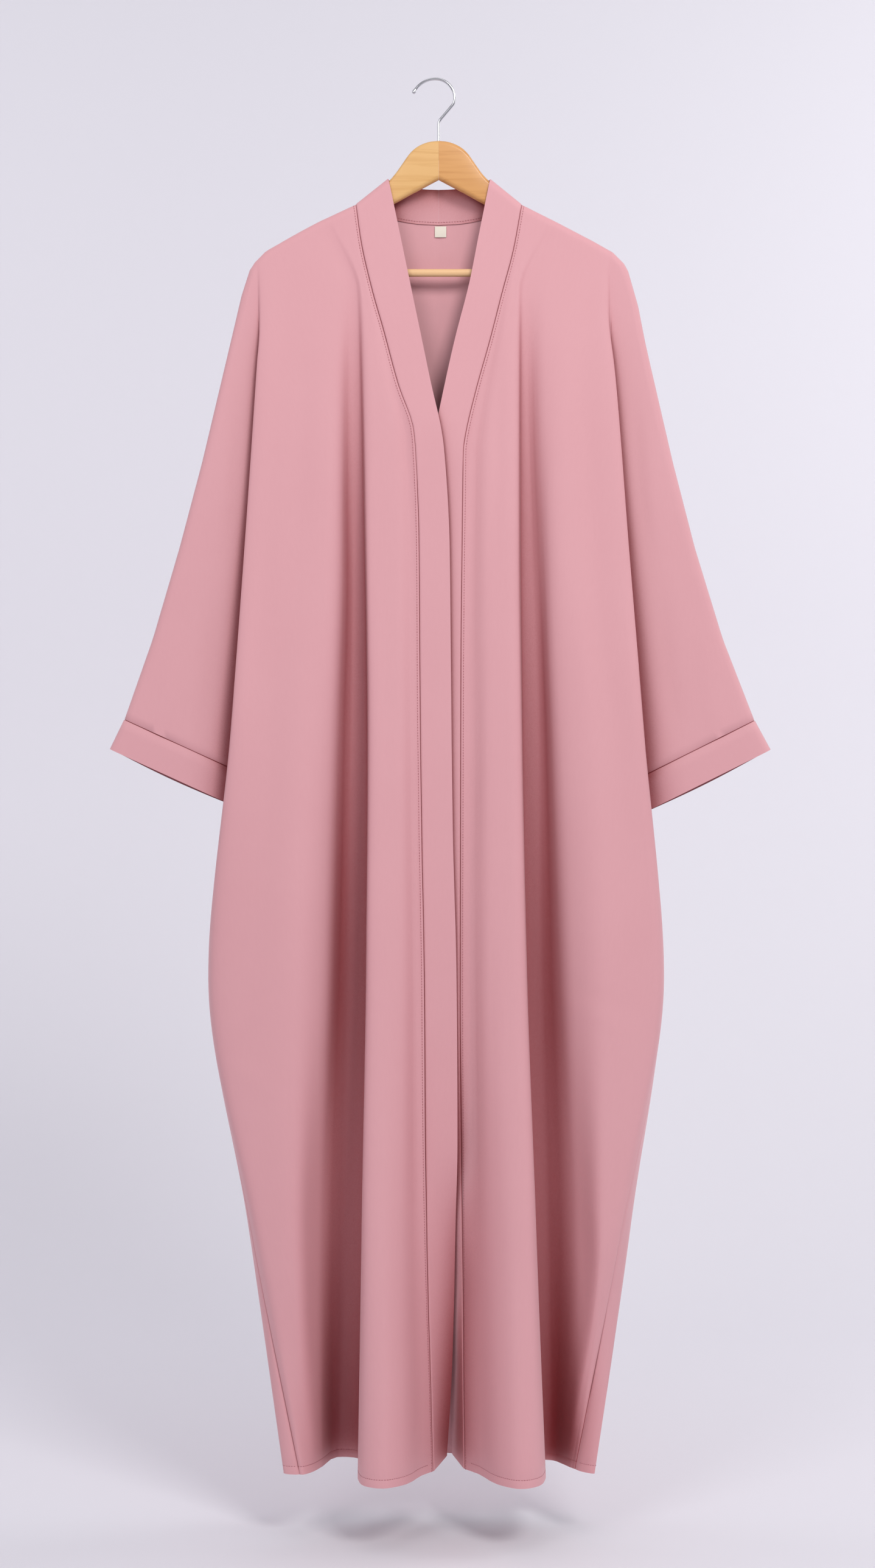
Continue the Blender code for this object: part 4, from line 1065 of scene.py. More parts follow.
@dataclass(frozen=True)
class ClothFinish:
    """Smooth crepe with a soft sheen, and painted shade that darkens its colour in folds and
    creases.
    """

    name: str = "rose_crepe_painted_shade"
    lit: tuple[float, float, float] = (0.745, 0.385, 0.41)
    deep: tuple[float, float, float] = (0.71, 0.352, 0.378)
    roughness: float = 0.58
    slub_scale: float = 60.0
    thread_pitch: float = 0.0011
    # shade_reach, shade_from, shade_to and hollow set the painted shade: how far the occlusion
    # looks, the openness it fades over, and the dark colour painted into folds
    shade_reach: float = 0.055
    shade_from: float = 0.34
    shade_to: float = 0.94
    hollow: tuple[float, float, float] = (0.27, 0.022, 0.026)

    def build(self) -> bpy.types.Material:
        """Make the material, with painted shade that darkens the colour where the cloth is closed
        in.

        Returns:
            The material, on the piece's own UV map in metres.
        """
        made = Shading(self.name, self.lit, self.roughness, {
            "Sheen Weight": 0.25, "Sheen Roughness": 0.45,
            "Sheen Tint": (1.0, 0.82, 0.84, 1.0), "Specular IOR Level": 0.3})
        spot = made.node("ShaderNodeUVMap", {"uv_map": "cloth"})
        parts = made.node("ShaderNodeSeparateXYZ", None, {0: spot})
        across = Value(made, parts.socket.node.outputs[0])
        down = Value(made, parts.socket.node.outputs[1])
        turn = 2 * math.pi / self.thread_pitch
        weave = (across * turn).sine() * (down * turn).sine()
        slub_spot = made.node("ShaderNodeCombineXYZ", None, {0: across * 6.0, 1: down})
        slub = made.node("ShaderNodeTexNoise", {"noise_dimensions": "3D"},
                         {"Vector": slub_spot, "Scale": self.slub_scale, "Detail": 3.0})
        cloud = made.node("ShaderNodeTexNoise", {"noise_dimensions": "3D"},
                          {"Vector": spot, "Scale": 9.0, "Detail": 2.0})
        tone = cloud * 0.6 + slub * 0.4
        cloth = made.mixed(tone, (*self.deep, 1.0), (*self.lit, 1.0))
        # Painted shade: ambient occlusion turns the base colour towards the dark hollow colour in
        # folds, creases and recesses
        painted_shade_occlusion = made.node("ShaderNodeAmbientOcclusion", {"samples": 6},
                             {"Distance": self.shade_reach}, "AO")
        painted_shade_factor = made.node("ShaderNodeMapRange", {"interpolation_type": "SMOOTHSTEP"}, {
            "Value": painted_shade_occlusion, "From Min": self.shade_from, "From Max": self.shade_to})
        made.feed("Base Color", made.mixed(painted_shade_factor, (*self.hollow, 1.0), cloth))
        made.bump(weave * 0.3 + slub, 0.00012, 0.35)
        return made.material


@dataclass(frozen=True)
class ThreadFinish:
    """Matt sewing thread."""

    name: str
    colour: tuple[float, float, float]
    roughness: float = 0.7

    def build(self) -> bpy.types.Material:
        """Make the material."""
        return Shading(self.name, self.colour, self.roughness).material


@dataclass(frozen=True)
class WoodFinish:
    """Lacquered beech, with grain along the piece."""

    name: str
    light: tuple[float, float, float]
    dark: tuple[float, float, float]
    lean: float

    def build(self) -> bpy.types.Material:
        """Make the material.

        Returns:
            The material, with its grain turned by the lean.
        """
        made = Shading(self.name, self.light, 0.38,
                       {"Coat Weight": 0.25, "Coat Roughness": 0.2})
        place = made.node("ShaderNodeTexCoord", None, None, "Object")
        grain = made.node("ShaderNodeMapping", {"vector_type": "POINT"}, {
            "Vector": place, "Rotation": (0.0, self.lean, 0.0), "Scale": (3.0, 60.0, 60.0)})
        streak = made.node("ShaderNodeTexNoise", {"noise_dimensions": "3D"},
                           {"Vector": grain, "Scale": 2.4, "Detail": 6.0, "Distortion": 0.8})
        pore = made.node("ShaderNodeTexNoise", {"noise_dimensions": "3D"},
                         {"Vector": grain, "Scale": 16.0, "Detail": 2.0})
        tone = made.node("ShaderNodeValToRGB", {"stops": (
            (0.3, self.dark), (0.52, self.light), (0.75, self.light))},
            {"Fac": streak * 0.85 + pore * 0.15})
        made.feed("Base Color", tone)
        made.bump(streak, 0.0001, 0.2)
        return made.material


@dataclass(frozen=True)
class MetalFinish:
    """Bright plated wire."""

    name: str = "bright_wire"

    def build(self) -> bpy.types.Material:
        """Make the material."""
        return Shading(self.name, (0.62, 0.62, 0.64), 0.16, {"Metallic": 1.0}).material


@dataclass
class Stitcher:
    """Rows of stitches, laid along lines by a tree of geometry nodes."""

    pitch: float = 3.1 * MM
    length: float = 2.3 * MM
    thread: float = 0.62 * MM
    seed: int = 7
    tree: bpy.types.NodeTree = field(init=False)

    def __post_init__(self) -> None:
        """Build the tree once, with its sizes as inputs."""
        tree = bpy.data.node_groups.new("stitches", "GeometryNodeTree")
        self.tree = tree
        face = tree.interface
        face.new_socket("Line", in_out="INPUT", socket_type="NodeSocketGeometry")
        for name in ("Pitch", "Stitch Length", "Thread"):
            face.new_socket(name, in_out="INPUT", socket_type="NodeSocketFloat")
        face.new_socket("Seed", in_out="INPUT", socket_type="NodeSocketInt")
        face.new_socket("Finish", in_out="INPUT", socket_type="NodeSocketMaterial")
        face.new_socket("Stitches", in_out="OUTPUT", socket_type="NodeSocketGeometry")
        self._wire()

    def _add(self, kind: str, settings: dict[str, object] | None = None,
             inputs: dict[Union[int, str], object] | None = None) -> bpy.types.Node:
        """Add one node and link or set its inputs.

        Args:
            kind: The node's type.
            settings: Its properties.
            inputs: Sockets to link or values to set.
        Returns:
            The node.
        """
        node = self.tree.nodes.new(kind)
        for key, value in (settings or {}).items():
            setattr(node, key, value)
        for key, value in (inputs or {}).items():
            if isinstance(value, bpy.types.NodeSocket):
                self.tree.links.new(value, node.inputs[key])
            else:
                node.inputs[key].default_value = value
        return node

    def _wire(self) -> None:
        """Lay a short thread at every step of the line."""
        given = self._add("NodeGroupInput").outputs
        curve = self._add("GeometryNodeMeshToCurve", None, {0: given["Line"]})
        even = self._add("GeometryNodeResampleCurve", None, {"Curve": curve.outputs[0]})
        even.mode = "LENGTH"
        self.tree.links.new(given["Pitch"], even.inputs["Length"])
        tangent = self._add("GeometryNodeInputTangent")
        turned = self._add("FunctionNodeAlignRotationToVector", {"axis": "Z"},
                           {"Vector": tangent.outputs[0]})
        thread = self._add("GeometryNodeMeshUVSphere", None, {"Segments": 6, "Rings": 5})
        half = self._add("ShaderNodeMath", {"operation": "MULTIPLY"},
                         {0: given["Stitch Length"], 1: 0.5})
        thin = self._add("ShaderNodeMath", {"operation": "MULTIPLY"}, {0: given["Thread"], 1: 0.5})
        shape = self._add("ShaderNodeCombineXYZ", None, {
            0: thin.outputs[0], 1: thin.outputs[0], 2: half.outputs[0]})
        sized = self._add("GeometryNodeTransform", None, {
            "Geometry": thread.outputs[0], "Scale": shape.outputs[0]})
        spread = self._add("FunctionNodeRandomValue", {"data_type": "FLOAT"},
                           {2: 0.9, 3: 1.08, "Seed": given["Seed"]})
        laid = self._add("GeometryNodeInstanceOnPoints", None, {
            "Points": even.outputs[0], "Instance": sized.outputs[0],
            "Rotation": turned.outputs[0], "Scale": spread.outputs[1]})
        real = self._add("GeometryNodeRealizeInstances", None, {0: laid.outputs[0]})
        dressed = self._add("GeometryNodeSetMaterial", None, {
            "Geometry": real.outputs[0], "Material": given["Finish"]})
        end = self._add("NodeGroupOutput")
        self.tree.links.new(dressed.outputs[0], end.inputs[0])

    def sew(self, name: str, lines: Sequence[Sequence[Vector]],
            finish: bpy.types.Material) -> bpy.types.Object:
        """Stitch along lines.

        Args:
            name: Name of the piece.
            lines: Points of each line, in metres.
            finish: Thread material.
        Returns:
            The stitches as one mesh.
        """
        mesh = bpy.data.meshes.new(name + "_line")
        verts: list[tuple[float, ...]] = []
        edges: list[tuple[int, int]] = []
        for line in lines:
            first = len(verts)
            verts += [tuple(point) for point in line]
            edges += [(first + i, first + i + 1) for i in range(len(line) - 1)]
        mesh.from_pydata(verts, edges, [])
        guide = bpy.data.objects.new(name + "_line", mesh)
        bpy.context.scene.collection.objects.link(guide)
        modifier = guide.modifiers.new("stitches", "NODES")
        modifier.node_group = self.tree
        values = {"Pitch": self.pitch, "Stitch Length": self.length, "Thread": self.thread,
                  "Seed": self.seed, "Finish": finish}
        for item in self.tree.interface.items_tree:
            if item.in_out == "INPUT" and item.name in values:
                modifier[item.identifier] = values[item.name]
        depsgraph = bpy.context.evaluated_depsgraph_get()
        made = bpy.data.meshes.new_from_object(guide.evaluated_get(depsgraph))
        made.name = name
        bpy.data.objects.remove(guide, do_unlink=True)
        piece = bpy.data.objects.new(name, made)
        bpy.context.scene.collection.objects.link(piece)
        made.shade_smooth()
        return piece


@dataclass
class Panels:
    """Front and back panels, each cut in one with its part of the sleeves."""

    finish: bpy.types.Material
    levels: list[float] = field(init=False)
    under: int = field(init=False)
    sleeve_drop: int = 21

    def __post_init__(self) -> None:
        """Lay out the rows."""
        body = [YOKE_BASE + (UNDERARM - YOKE_BASE) * k / YOKE_ROWS for k in range(YOKE_ROWS + 1)]
        count = round((UNDERARM - HEM_HEIGHT - HEM_ROWS[0]) / BODY_STEP)
        last = HEM_HEIGHT + HEM_ROWS[0]
        body += [mix(UNDERARM, last, k / count) for k in range(1, count)]
        body += [HEM_HEIGHT + above for above in HEM_ROWS]
        self.levels = list(YOKE_STEPS) + body
        self.under = self.levels.index(UNDERARM)

    def sleeve_levels(self, side: Side) -> list[float]:
        """Levels of the sleeve's inner edge from the shoulder to the cuff."""
        end = side.cuff_seam[1][1]
        lower = [mix(UNDERARM, end, k / self.sleeve_drop) for k in range(1, self.sleeve_drop)]
        return self.levels[:self.under + 1] + lower + [end + SEAM_ROLL, end]

    @staticmethod
    def _stitched_row(points: list[Vector]) -> list[Vector]:
        """Add the seam's roll and the column that the edge stitch runs down."""
        along = (points[1] - points[0]).normalized()
        near = [points[0] + along * step for step in (SEAM_ROLL, STITCH_SET_IN)]
        return points[:1] + near + points[1:]

    def _sleeve(self, sheet: Sheet, drape: Drape, facing: Facing, last: int) -> None:
        """Add one layer of a sleeve beside the body's last column.

        Args:
            sheet: The panel.
            drape: The side.
            facing: Front or back layer.
            last: The body's last column.
        """
        side = drape.side
        first = last + 1
        levels = self.sleeve_levels(side)
        creases = FRONT_CREASES if facing is Facing.FRONT else BACK_CREASES
        towards_seam = Vector((0, -facing.value, 0))
        width = 0
        for row, level in enumerate(levels):
            places = drape.sleeve_row(level, facing)
            width = len(places)
            for offset, place in enumerate(places):
                key = (side.name, row, first + offset)
                point = drape.vector(place)
                sheet.put(key, point, (abs(point.x) * MM, point.z * MM))
                if 0 < offset < width - 1 and 0 < row < len(levels) - 1:
                    sheet.rise(key, creased(point, creases))
        outer = first + width - 1
        for row in range(len(levels) - 1):
            start = last if row < self.under else first
            for column in range(start, outer):
                self._cell(sheet, side, row, column, facing)
        for row in range(len(levels)):
            sheet.rim((side.name, row, outer), towards_seam)
            if row >= self.under:
                sheet.rim((side.name, row, first), towards_seam)
        for column in range(first, outer):
            sheet.rim((side.name, 0, column), towards_seam)
        for column in range(first, outer + 1):
            sheet.rim((side.name, len(levels) - 1, column), drape.cuff_direction())
            sheet.rise((side.name, len(levels) - 1, column), -SEAM_SINK)

    @staticmethod
    def _cell(sheet: Sheet, side: Side, row: int, column: int, facing: Facing) -> None:
        """Add one quad with its front towards the outside of the garment."""
        corners = [(side.name, row, column), (side.name, row + 1, column),
                   (side.name, row + 1, column + 1), (side.name, row, column + 1)]
        sheet.cell(corners, side.sign * facing.value > 0)

    def _put_row(self, sheet: Sheet, side: Side, row: int, points: Sequence[Vector],
                 creases: Sequence[Crease], first: int = 0) -> None:
        """Add a row of the body, with its creases and its place on the flat cloth.

        Args:
            sheet: The panel.
            side: The side.
            row: Which row.
            points: The row's points, from the middle of the body outwards.
            creases: The small creases of the layer.
            first: Columns to leave out because they are there already.
        """
        along = 0.0
        for column, point in enumerate(points):
            if column:
                along += (point - points[column - 1]).length
            if column < first:
                sheet.keys[(side.name, row, column)] = sheet.keys[("right", row, column)]
                continue
            sheet.put((side.name, row, column), point, (side.sign * along * MM, point.z * MM))
            if 0 < row and 1 < column < len(points) - 1:
                sheet.rise((side.name, row, column), creased(point, creases))

    def front(self, drape: Drape, stitcher: Stitcher, thread: bpy.types.Material) -> None:
        """Build one front panel and its stitches.

        Args:
            drape: The side.
            stitcher: Lays the stitches.
            thread: Thread material.
        """
        side = drape.side
        sheet = Sheet()
        last = 0
        for row, level in enumerate(self.levels):
            edge = drape.crease(level)[0] if row <= self.under else drape.side_seam(level)
            points = [drape.vector(place) for place in drape.front_row(level) + [edge]]
            points = self._stitched_row(smooth_row(points, FRONT_STEPS))
            if row == 0:
                for point in points:
                    point.y, point.z = 0.0, drape.ridge_height(abs(point.x))
            self._put_row(sheet, side, row, points, FRONT_CREASES)
            last = len(points) - 1
        for row in range(len(self.levels) - 1):
            for column in range(last):
                self._cell(sheet, side, row, column, Facing.FRONT)
        self._sleeve(sheet, drape, Facing.FRONT, last)
        back_wards = Vector((0, 1, 0))
        for column in range(last + 1):
            sheet.rim((side.name, 0, column), back_wards)
        for row, level in enumerate(self.levels):
            sheet.rim((side.name, row, 0), drape.band_direction(level))
            sheet.rise((side.name, row, 0), -SEAM_SINK)
            if row >= self.under:
                sheet.rim((side.name, row, last), drape.side_seam_direction(level))
                sheet.rise((side.name, row, last), -SEAM_SINK)
        bottom = len(self.levels) - 1
        stitch_row = bottom - len(HEM_ROWS) + 2
        for column in range(last + 1):
            sheet.rise((side.name, stitch_row, column), -HEM_DIP)
        sheet.settle()
        piece = sheet.solid("cloth_front_" + side.name, CLOTH_WALL, self.finish)
        lines = [
            sheet.outer([(side.name, row, 2) for row in range(3, bottom)], CLOTH_WALL,
                        STITCH_LIFT),
            sheet.outer([(side.name, stitch_row, column) for column in range(3, last - 1)],
                        CLOTH_WALL, STITCH_LIFT)]
        stitches = stitcher.sew("stitches_front_" + side.name, lines, thread)
        own(piece, "cloth", "front_" + side.name)
        own(stitches, "cloth")

    def back(self, drapes: Sequence[Drape], finish: bpy.types.Material, stitcher: Stitcher,
             thread: bpy.types.Material) -> None:
        """Build the back in one piece with the back halves of both sleeves.

        Args:
            drapes: Both sides.
            finish: The back's cloth.
            stitcher: Lays the stitches.
            thread: Thread material.
        """
        sheet = Sheet()
        bottom = len(self.levels) - 1
        stitch_row = bottom - len(HEM_ROWS) + 2
        hem_lines = []
        for drape in drapes:
            side = drape.side
            last = 0
            neck_column = 0
            for row, level in enumerate(self.levels):
                if row <= self.under:
                    crease = drape.crease(level)[0]
                    edge = Place(crease.across, crease.height, -crease.depth)
                else:
                    edge = drape.side_seam(level)
                points = [drape.vector(place) for place in [edge] + drape.back_row(level)]
                points = smooth_row(points, BACK_STEPS)
                points.reverse()
                neck_column = sum(BACK_STEPS[-5:])
                last = len(points) - 1
                if row == 0:
                    for point in points[neck_column:]:
                        point.y, point.z = 0.0, drape.ridge_height(abs(point.x))
                self._put_row(sheet, side, row, points, BACK_CREASES, 1 if side.sign > 0 else 0)
            for row in range(bottom):
                for column in range(last):
                    self._cell(sheet, side, row, column, Facing.BACK)
            self._sleeve(sheet, drape, Facing.BACK, last)
            for row in range(self.under, len(self.levels)):
                sheet.rim((side.name, row, last), -drape.side_seam_direction(self.levels[row]))
                sheet.rise((side.name, row, last), -SEAM_SINK)
            for column in range(neck_column, last + 1):
                sheet.rim((side.name, 0, column), Vector((0, -1, 0)))
            for column in range(0 if side.sign < 0 else 1, neck_column):
                sheet.rim((side.name, 0, column), Vector((0, 0, 1)))
            for column in range(last + 1):
                sheet.rise((side.name, stitch_row, column), -HEM_DIP)
            hem_lines.append([(side.name, stitch_row, column) for column in range(1, last - 1)])
        sheet.settle()
        piece = sheet.solid("cloth_back", CLOTH_WALL, finish)
        stitches = stitcher.sew("stitches_back", [
            sheet.outer(keys, CLOTH_WALL, STITCH_LIFT) for keys in hem_lines], thread)
        own(piece, "cloth", "back")
        own(stitches, "cloth")


@dataclass
class Trims:
    """Bands, cuffs and label, each folded double."""

    finish: bpy.types.Material
    label_finish: bpy.types.Material
    band_shares: Sequence[float] = (0.0, 0.026, 0.075, 0.2, 0.36, 0.52, 0.68, 0.84, 1.0)
    cuff_shares: Sequence[float] = (0.0, 0.024, 0.3, 0.55, 0.8, 0.94, 1.0)

    def band(self, drape: Drape, levels: Sequence[float], stitcher: Stitcher,
             thread: bpy.types.Material) -> None:
        """Build the band down one front edge, over the shoulder and round the neck.

        Args:
            drape: The side.
            levels: The panels' rows.
            stitcher: Lays the stitches.
            thread: Thread material.
        """
        side = drape.side
        sheet = Sheet()
        stations = []
        for level in reversed(levels):
            seam, free = drape.band(drape.height(level, side.band[0].height))
            stations.append((drape.vector(seam), drape.vector(free)))
        neck = [tuple(drape.vector(place) for place in drape.neck_places(row)) for row in NECK]
        seams = smooth_row([pair[0] for pair in neck], NECK_STEPS)
        frees = smooth_row([pair[1] for pair in neck], NECK_STEPS)
        shoulder = len(stations) - 1
        stations += list(zip(seams, frees))[1:]
        along = 0.0
        for row, (seam, free) in enumerate(stations):
            if row:
                along += (seam - stations[row - 1][0]).length
            for column, share in enumerate(self.band_shares):
                point = seam.lerp(free, share)
                if row == len(stations) - 1:
                    point.x = side.sign * (CENTRE_GAP - SEAM_GAP) / 2
                sheet.put((0, row, column), point, (share * BAND_SHOWN, along * MM))
            sheet.rim((0, row, 0), (seam - free).normalized())
            sheet.rise((0, row, 0), -SEAM_SINK)
        for row in range(len(stations) - 1):
            for column in range(len(self.band_shares) - 1):
                corners = [(0, row, column), (0, row, column + 1), (0, row + 1, column + 1),
                           (0, row + 1, column)]
                sheet.cell(corners, side.sign > 0)
        for column in range(len(self.band_shares)):
            sheet.rim((0, len(stations) - 1, column), Vector((-side.sign, 0, 0)))
        sheet.settle()
        piece = sheet.solid("cloth_band_" + side.name, BAND_WALL, self.finish)
        keys = [(0, row, 2) for row in range(shoulder + 2, len(stations))]
        stitches = stitcher.sew("stitches_neck_" + side.name,
                                [sheet.outer(keys, BAND_WALL, STITCH_LIFT),
                                 sheet.outer(keys, -BAND_WALL, -STITCH_LIFT)], thread)
        own(piece, "cloth", "band_" + side.name)
        own(stitches, "cloth")

    def cuff(self, drape: Drape, levels: Sequence[float]) -> None:
        """Build the cuff ring round the end of one sleeve.

        Args:
            drape: The side.
            levels: The sleeve's rows.
        """
        side = drape.side
        front = drape.sleeve_row(levels[-1], Facing.FRONT)
        back = drape.sleeve_row(levels[-1], Facing.BACK)[1:-1]
        seam_outer, seam_inner = side.cuff_seam
        edge_outer, edge_inner = side.cuff_edge
        sheet = Sheet()
        loop = [(place, Facing.FRONT) for place in front]
        loop += [(place, Facing.BACK) for place in reversed(back)]
        around = 0.0
        previous = None
        for i, (place, facing) in enumerate(loop):
            t = (place.across - seam_inner[0]) / (seam_outer[0] - seam_inner[0])
            across = mix(edge_inner[0], edge_outer[0], t)
            height = mix(edge_inner[1], edge_outer[1], t)
            if facing is Facing.BACK:
                height -= BACK_CUFF_DROP * math.sin(math.pi * t)
            here = drape.vector(place)
            if previous is not None:
                around += (here - previous).length
            previous = here
            for row, share in enumerate(self.cuff_shares):
                depth = place.depth * mix(1.0, CUFF_HALF_DEPTH / SLEEVE_HALF_DEPTH[1], share)
                point = drape.point(mix(place.across, across, share),
                                    mix(place.height, height, share), depth)
                sheet.put((0, row, i), point, (around * MM, share * CUFF_SHOWN))
            sheet.rim((0, 0, i), -drape.cuff_direction())
            sheet.rise((0, 0, i), -SEAM_SINK)
        for row in range(len(self.cuff_shares) - 1):
            for i in range(len(loop)):
                ahead = (i + 1) % len(loop)
                sheet.cell([(0, row, i), (0, row + 1, i), (0, row + 1, ahead), (0, row, ahead)],
                           side.sign < 0)
        sheet.settle()
        piece = sheet.solid("cloth_cuff_" + side.name, CUFF_WALL, self.finish)
        own(piece, "cloth", "cuff_" + side.name)

    def label(self) -> None:
        """Build the bare woven label, a loop folded at its lower edge."""
        low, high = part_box("neck_label")
        sheet = Sheet()
        rows, columns = 6, 5
        for row in range(rows + 1):
            for column in range(columns + 1):
                x = mix(low[0], high[0], column / columns) / MM
                z = mix(high[2], low[2], row / rows) / MM
                y = (low[1] + high[1]) / 2 / MM - LABEL_BULGE * math.sin(math.pi * row / rows)
                sheet.put((0, row, column), Vector((x, y, z)), (x * MM, z * MM))
        for row in range(rows):
            for column in range(columns):
                sheet.cell([(0, row, column), (0, row + 1, column), (0, row + 1, column + 1),
                            (0, row, column + 1)], False)
        piece = sheet.solid("woven_label", LABEL_WALL, self.label_finish)
        own(piece, "label", "neck_label")


@dataclass
class Hanger:
    """Wooden hanger of two arms, a bar and a wire hook."""

    arm_finishes: dict[str, bpy.types.Material]
    bar_finish: bpy.types.Material
    wire_finish: bpy.types.Material
    bulb: Sequence[tuple[float, float]] = HOOK_TIP_BULB

    @staticmethod
    def _ring(across: float, top: float, bottom: float, half: float) -> list[Vector]:
        """Rounded outline of the wood at one distance from the centre, in millimetres."""
        radius = min(WOOD_EDGE_RADIUS * half / WOOD_HALF, (top - bottom) / 2 - 0.2)
        corners = ((half - radius, top - radius, 0), (radius - half, top - radius, 90),
                   (radius - half, bottom + radius, 180), (half - radius, bottom + radius, 270))
        points = []
        for y, z, start in corners:
            for k in range(WOOD_CORNER_POINTS):
                angle = math.radians(start + 90 * k / (WOOD_CORNER_POINTS - 1))
                points.append(Vector((across, y + radius * math.cos(angle),
                                      z + radius * math.sin(angle))))
        return points

    @staticmethod
    def _loft(name: str, rings: Sequence[Sequence[Vector]],
              finish: bpy.types.Material) -> bpy.types.Object:
        """Closed skin over rings of points.

        Args:
            name: Name of the piece.
            rings: Rings of equal length, in millimetres.
            finish: Material.
        Returns:
            The piece.
        """
        verts = [point * MM for ring in rings for point in ring]
        count = len(rings[0])
        faces = [list(range(count)), [len(verts) - 1 - k for k in range(count)]]
        for ring in range(len(rings) - 1):
            for k in range(count):
                a, b = ring * count + k, ring * count + (k + 1) % count
                faces.append([a, b, b + count, a + count])
        return make_piece(name, verts, faces, finish)

    def arm(self, drape: Drape) -> None:
        """Build one arm.

        Args:
            drape: The side whose shoulder line the arm carries.
        """
        side = drape.side
        keys = [(max(x, ARM_START) if i else ARM_START, top, bottom, 1.0)
                for i, (x, top, bottom) in enumerate(WOOD_MIDDLE)]
        for x, bottom, share in WOOD_ARM:
            slope = drape.ridge_height(x - 1) - drape.ridge_height(x + 1)
            top = drape.ridge_height(x) - WOOD_CLEARANCE * math.hypot(1.0, slope / 2)
            keys.append((x, top, bottom, share))
        steps = [ARM_STEPS] * (len(keys) - 1)
        tops, lows, halves = (smooth_row([Vector((key[0], 0, key[part])) for key in keys], steps)
                              for part in (1, 2, 3))
        rings = [self._ring(side.sign * top.x, top.z, low.z, WOOD_HALF * min(1.0, half.z))
                 for top, low, half in zip(tops, lows, halves)]
        piece = self._loft("wood_arm_" + side.name, rings, self.arm_finishes[side.name])
        own(piece, "wood", "hanger_arm_" + side.name)

    def hook(self) -> None:
        """Build the wire hook with the bulb at its tip."""
        x, z = HOOK_TIP
        heading = math.radians(HOOK_TIP_HEADING)
        path = [(x, z)]
        for bend in HOOK_BENDS:
            steps = bend.steps * HOOK_FINENESS
            for _ in range(steps):
                turn = math.radians(bend.turn) / steps
                step = bend.length / steps
                if bend.radius:
                    step = 2 * bend.radius * math.sin(abs(turn) / 2)
                heading += turn / 2
                x += step * math.cos(heading)
                z += step * math.sin(heading)
                heading += turn / 2
                path.append((x, z))
        path[-1] = (0.0, path[-1][1])
        path += [(0.0, HOOK_STEM_HEIGHT), (0.0, HOOK_END_HEIGHT)]
        heading = math.radians(HOOK_TIP_HEADING)
        start = [(path[0][0] + along * math.cos(heading), path[0][1] + along * math.sin(heading))
                 for along, _ in self.bulb]
        clear = next(i for i, p in enumerate(path) if math.dist(p, path[0]) > self.bulb[-1][0] + 1)
        radii = [radius for _, radius in self.bulb] + [WIRE_RADIUS] * (len(path) - clear)
        path = start + path[clear:]
        rings = []
        for i, (x, z) in enumerate(path):
            ahead, behind = path[min(i + 1, len(path) - 1)], path[max(i - 1, 0)]
            size = math.dist(ahead, behind)
            nx, nz = (behind[1] - ahead[1]) / size, (ahead[0] - behind[0]) / size
            ring = []
            for k in range(HOOK_SIDES):
                angle = 2 * math.pi * k / HOOK_SIDES
                out = radii[i] * math.cos(angle)
                ring.append(Vector((x + nx * out, radii[i] * math.sin(angle), z + nz * out)))
            rings.append(ring)
        piece = self._loft("wire_hook", rings, self.wire_finish)
        own(piece, "wire", "hanger_hook")

    def bar(self) -> None:
        """Build the round bar."""
        low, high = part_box("hanger_bar")
        radius = (high[1] - low[1]) / 2 / MM
        height = (low[2] + high[2]) / 2 / MM
        rings = []
        for x in (low[0] / MM, 0.0, high[0] / MM):
            rings.append([Vector((x, radius * math.cos(math.tau * k / BAR_SIDES),
                                  height + radius * math.sin(math.tau * k / BAR_SIDES)))
                          for k in range(BAR_SIDES)])
        piece = self._loft("wood_bar", rings, self.bar_finish)
        own(piece, "wood", "hanger_bar")


@dataclass(frozen=True)
class Lamp:
    """A soft square light that looks at a point."""

    name: str
    place: tuple[float, float, float]
    target: tuple[float, float, float]
    width: float
    watts: float
    colour: tuple[float, float, float] = (1.0, 1.0, 1.0)

    def build(self) -> None:
        """Make the light."""
        data = bpy.data.lights.new(self.name, "AREA")
        data.shape = "SQUARE"
        data.size = self.width
        data.energy = self.watts
        data.color = self.colour
        lamp = bpy.data.objects.new(self.name, data)
        lamp.location = self.place
        look = Vector(self.target) - Vector(self.place)
        lamp.rotation_euler = look.to_track_quat("-Z", "Y").to_euler()
        bpy.context.scene.collection.objects.link(lamp)


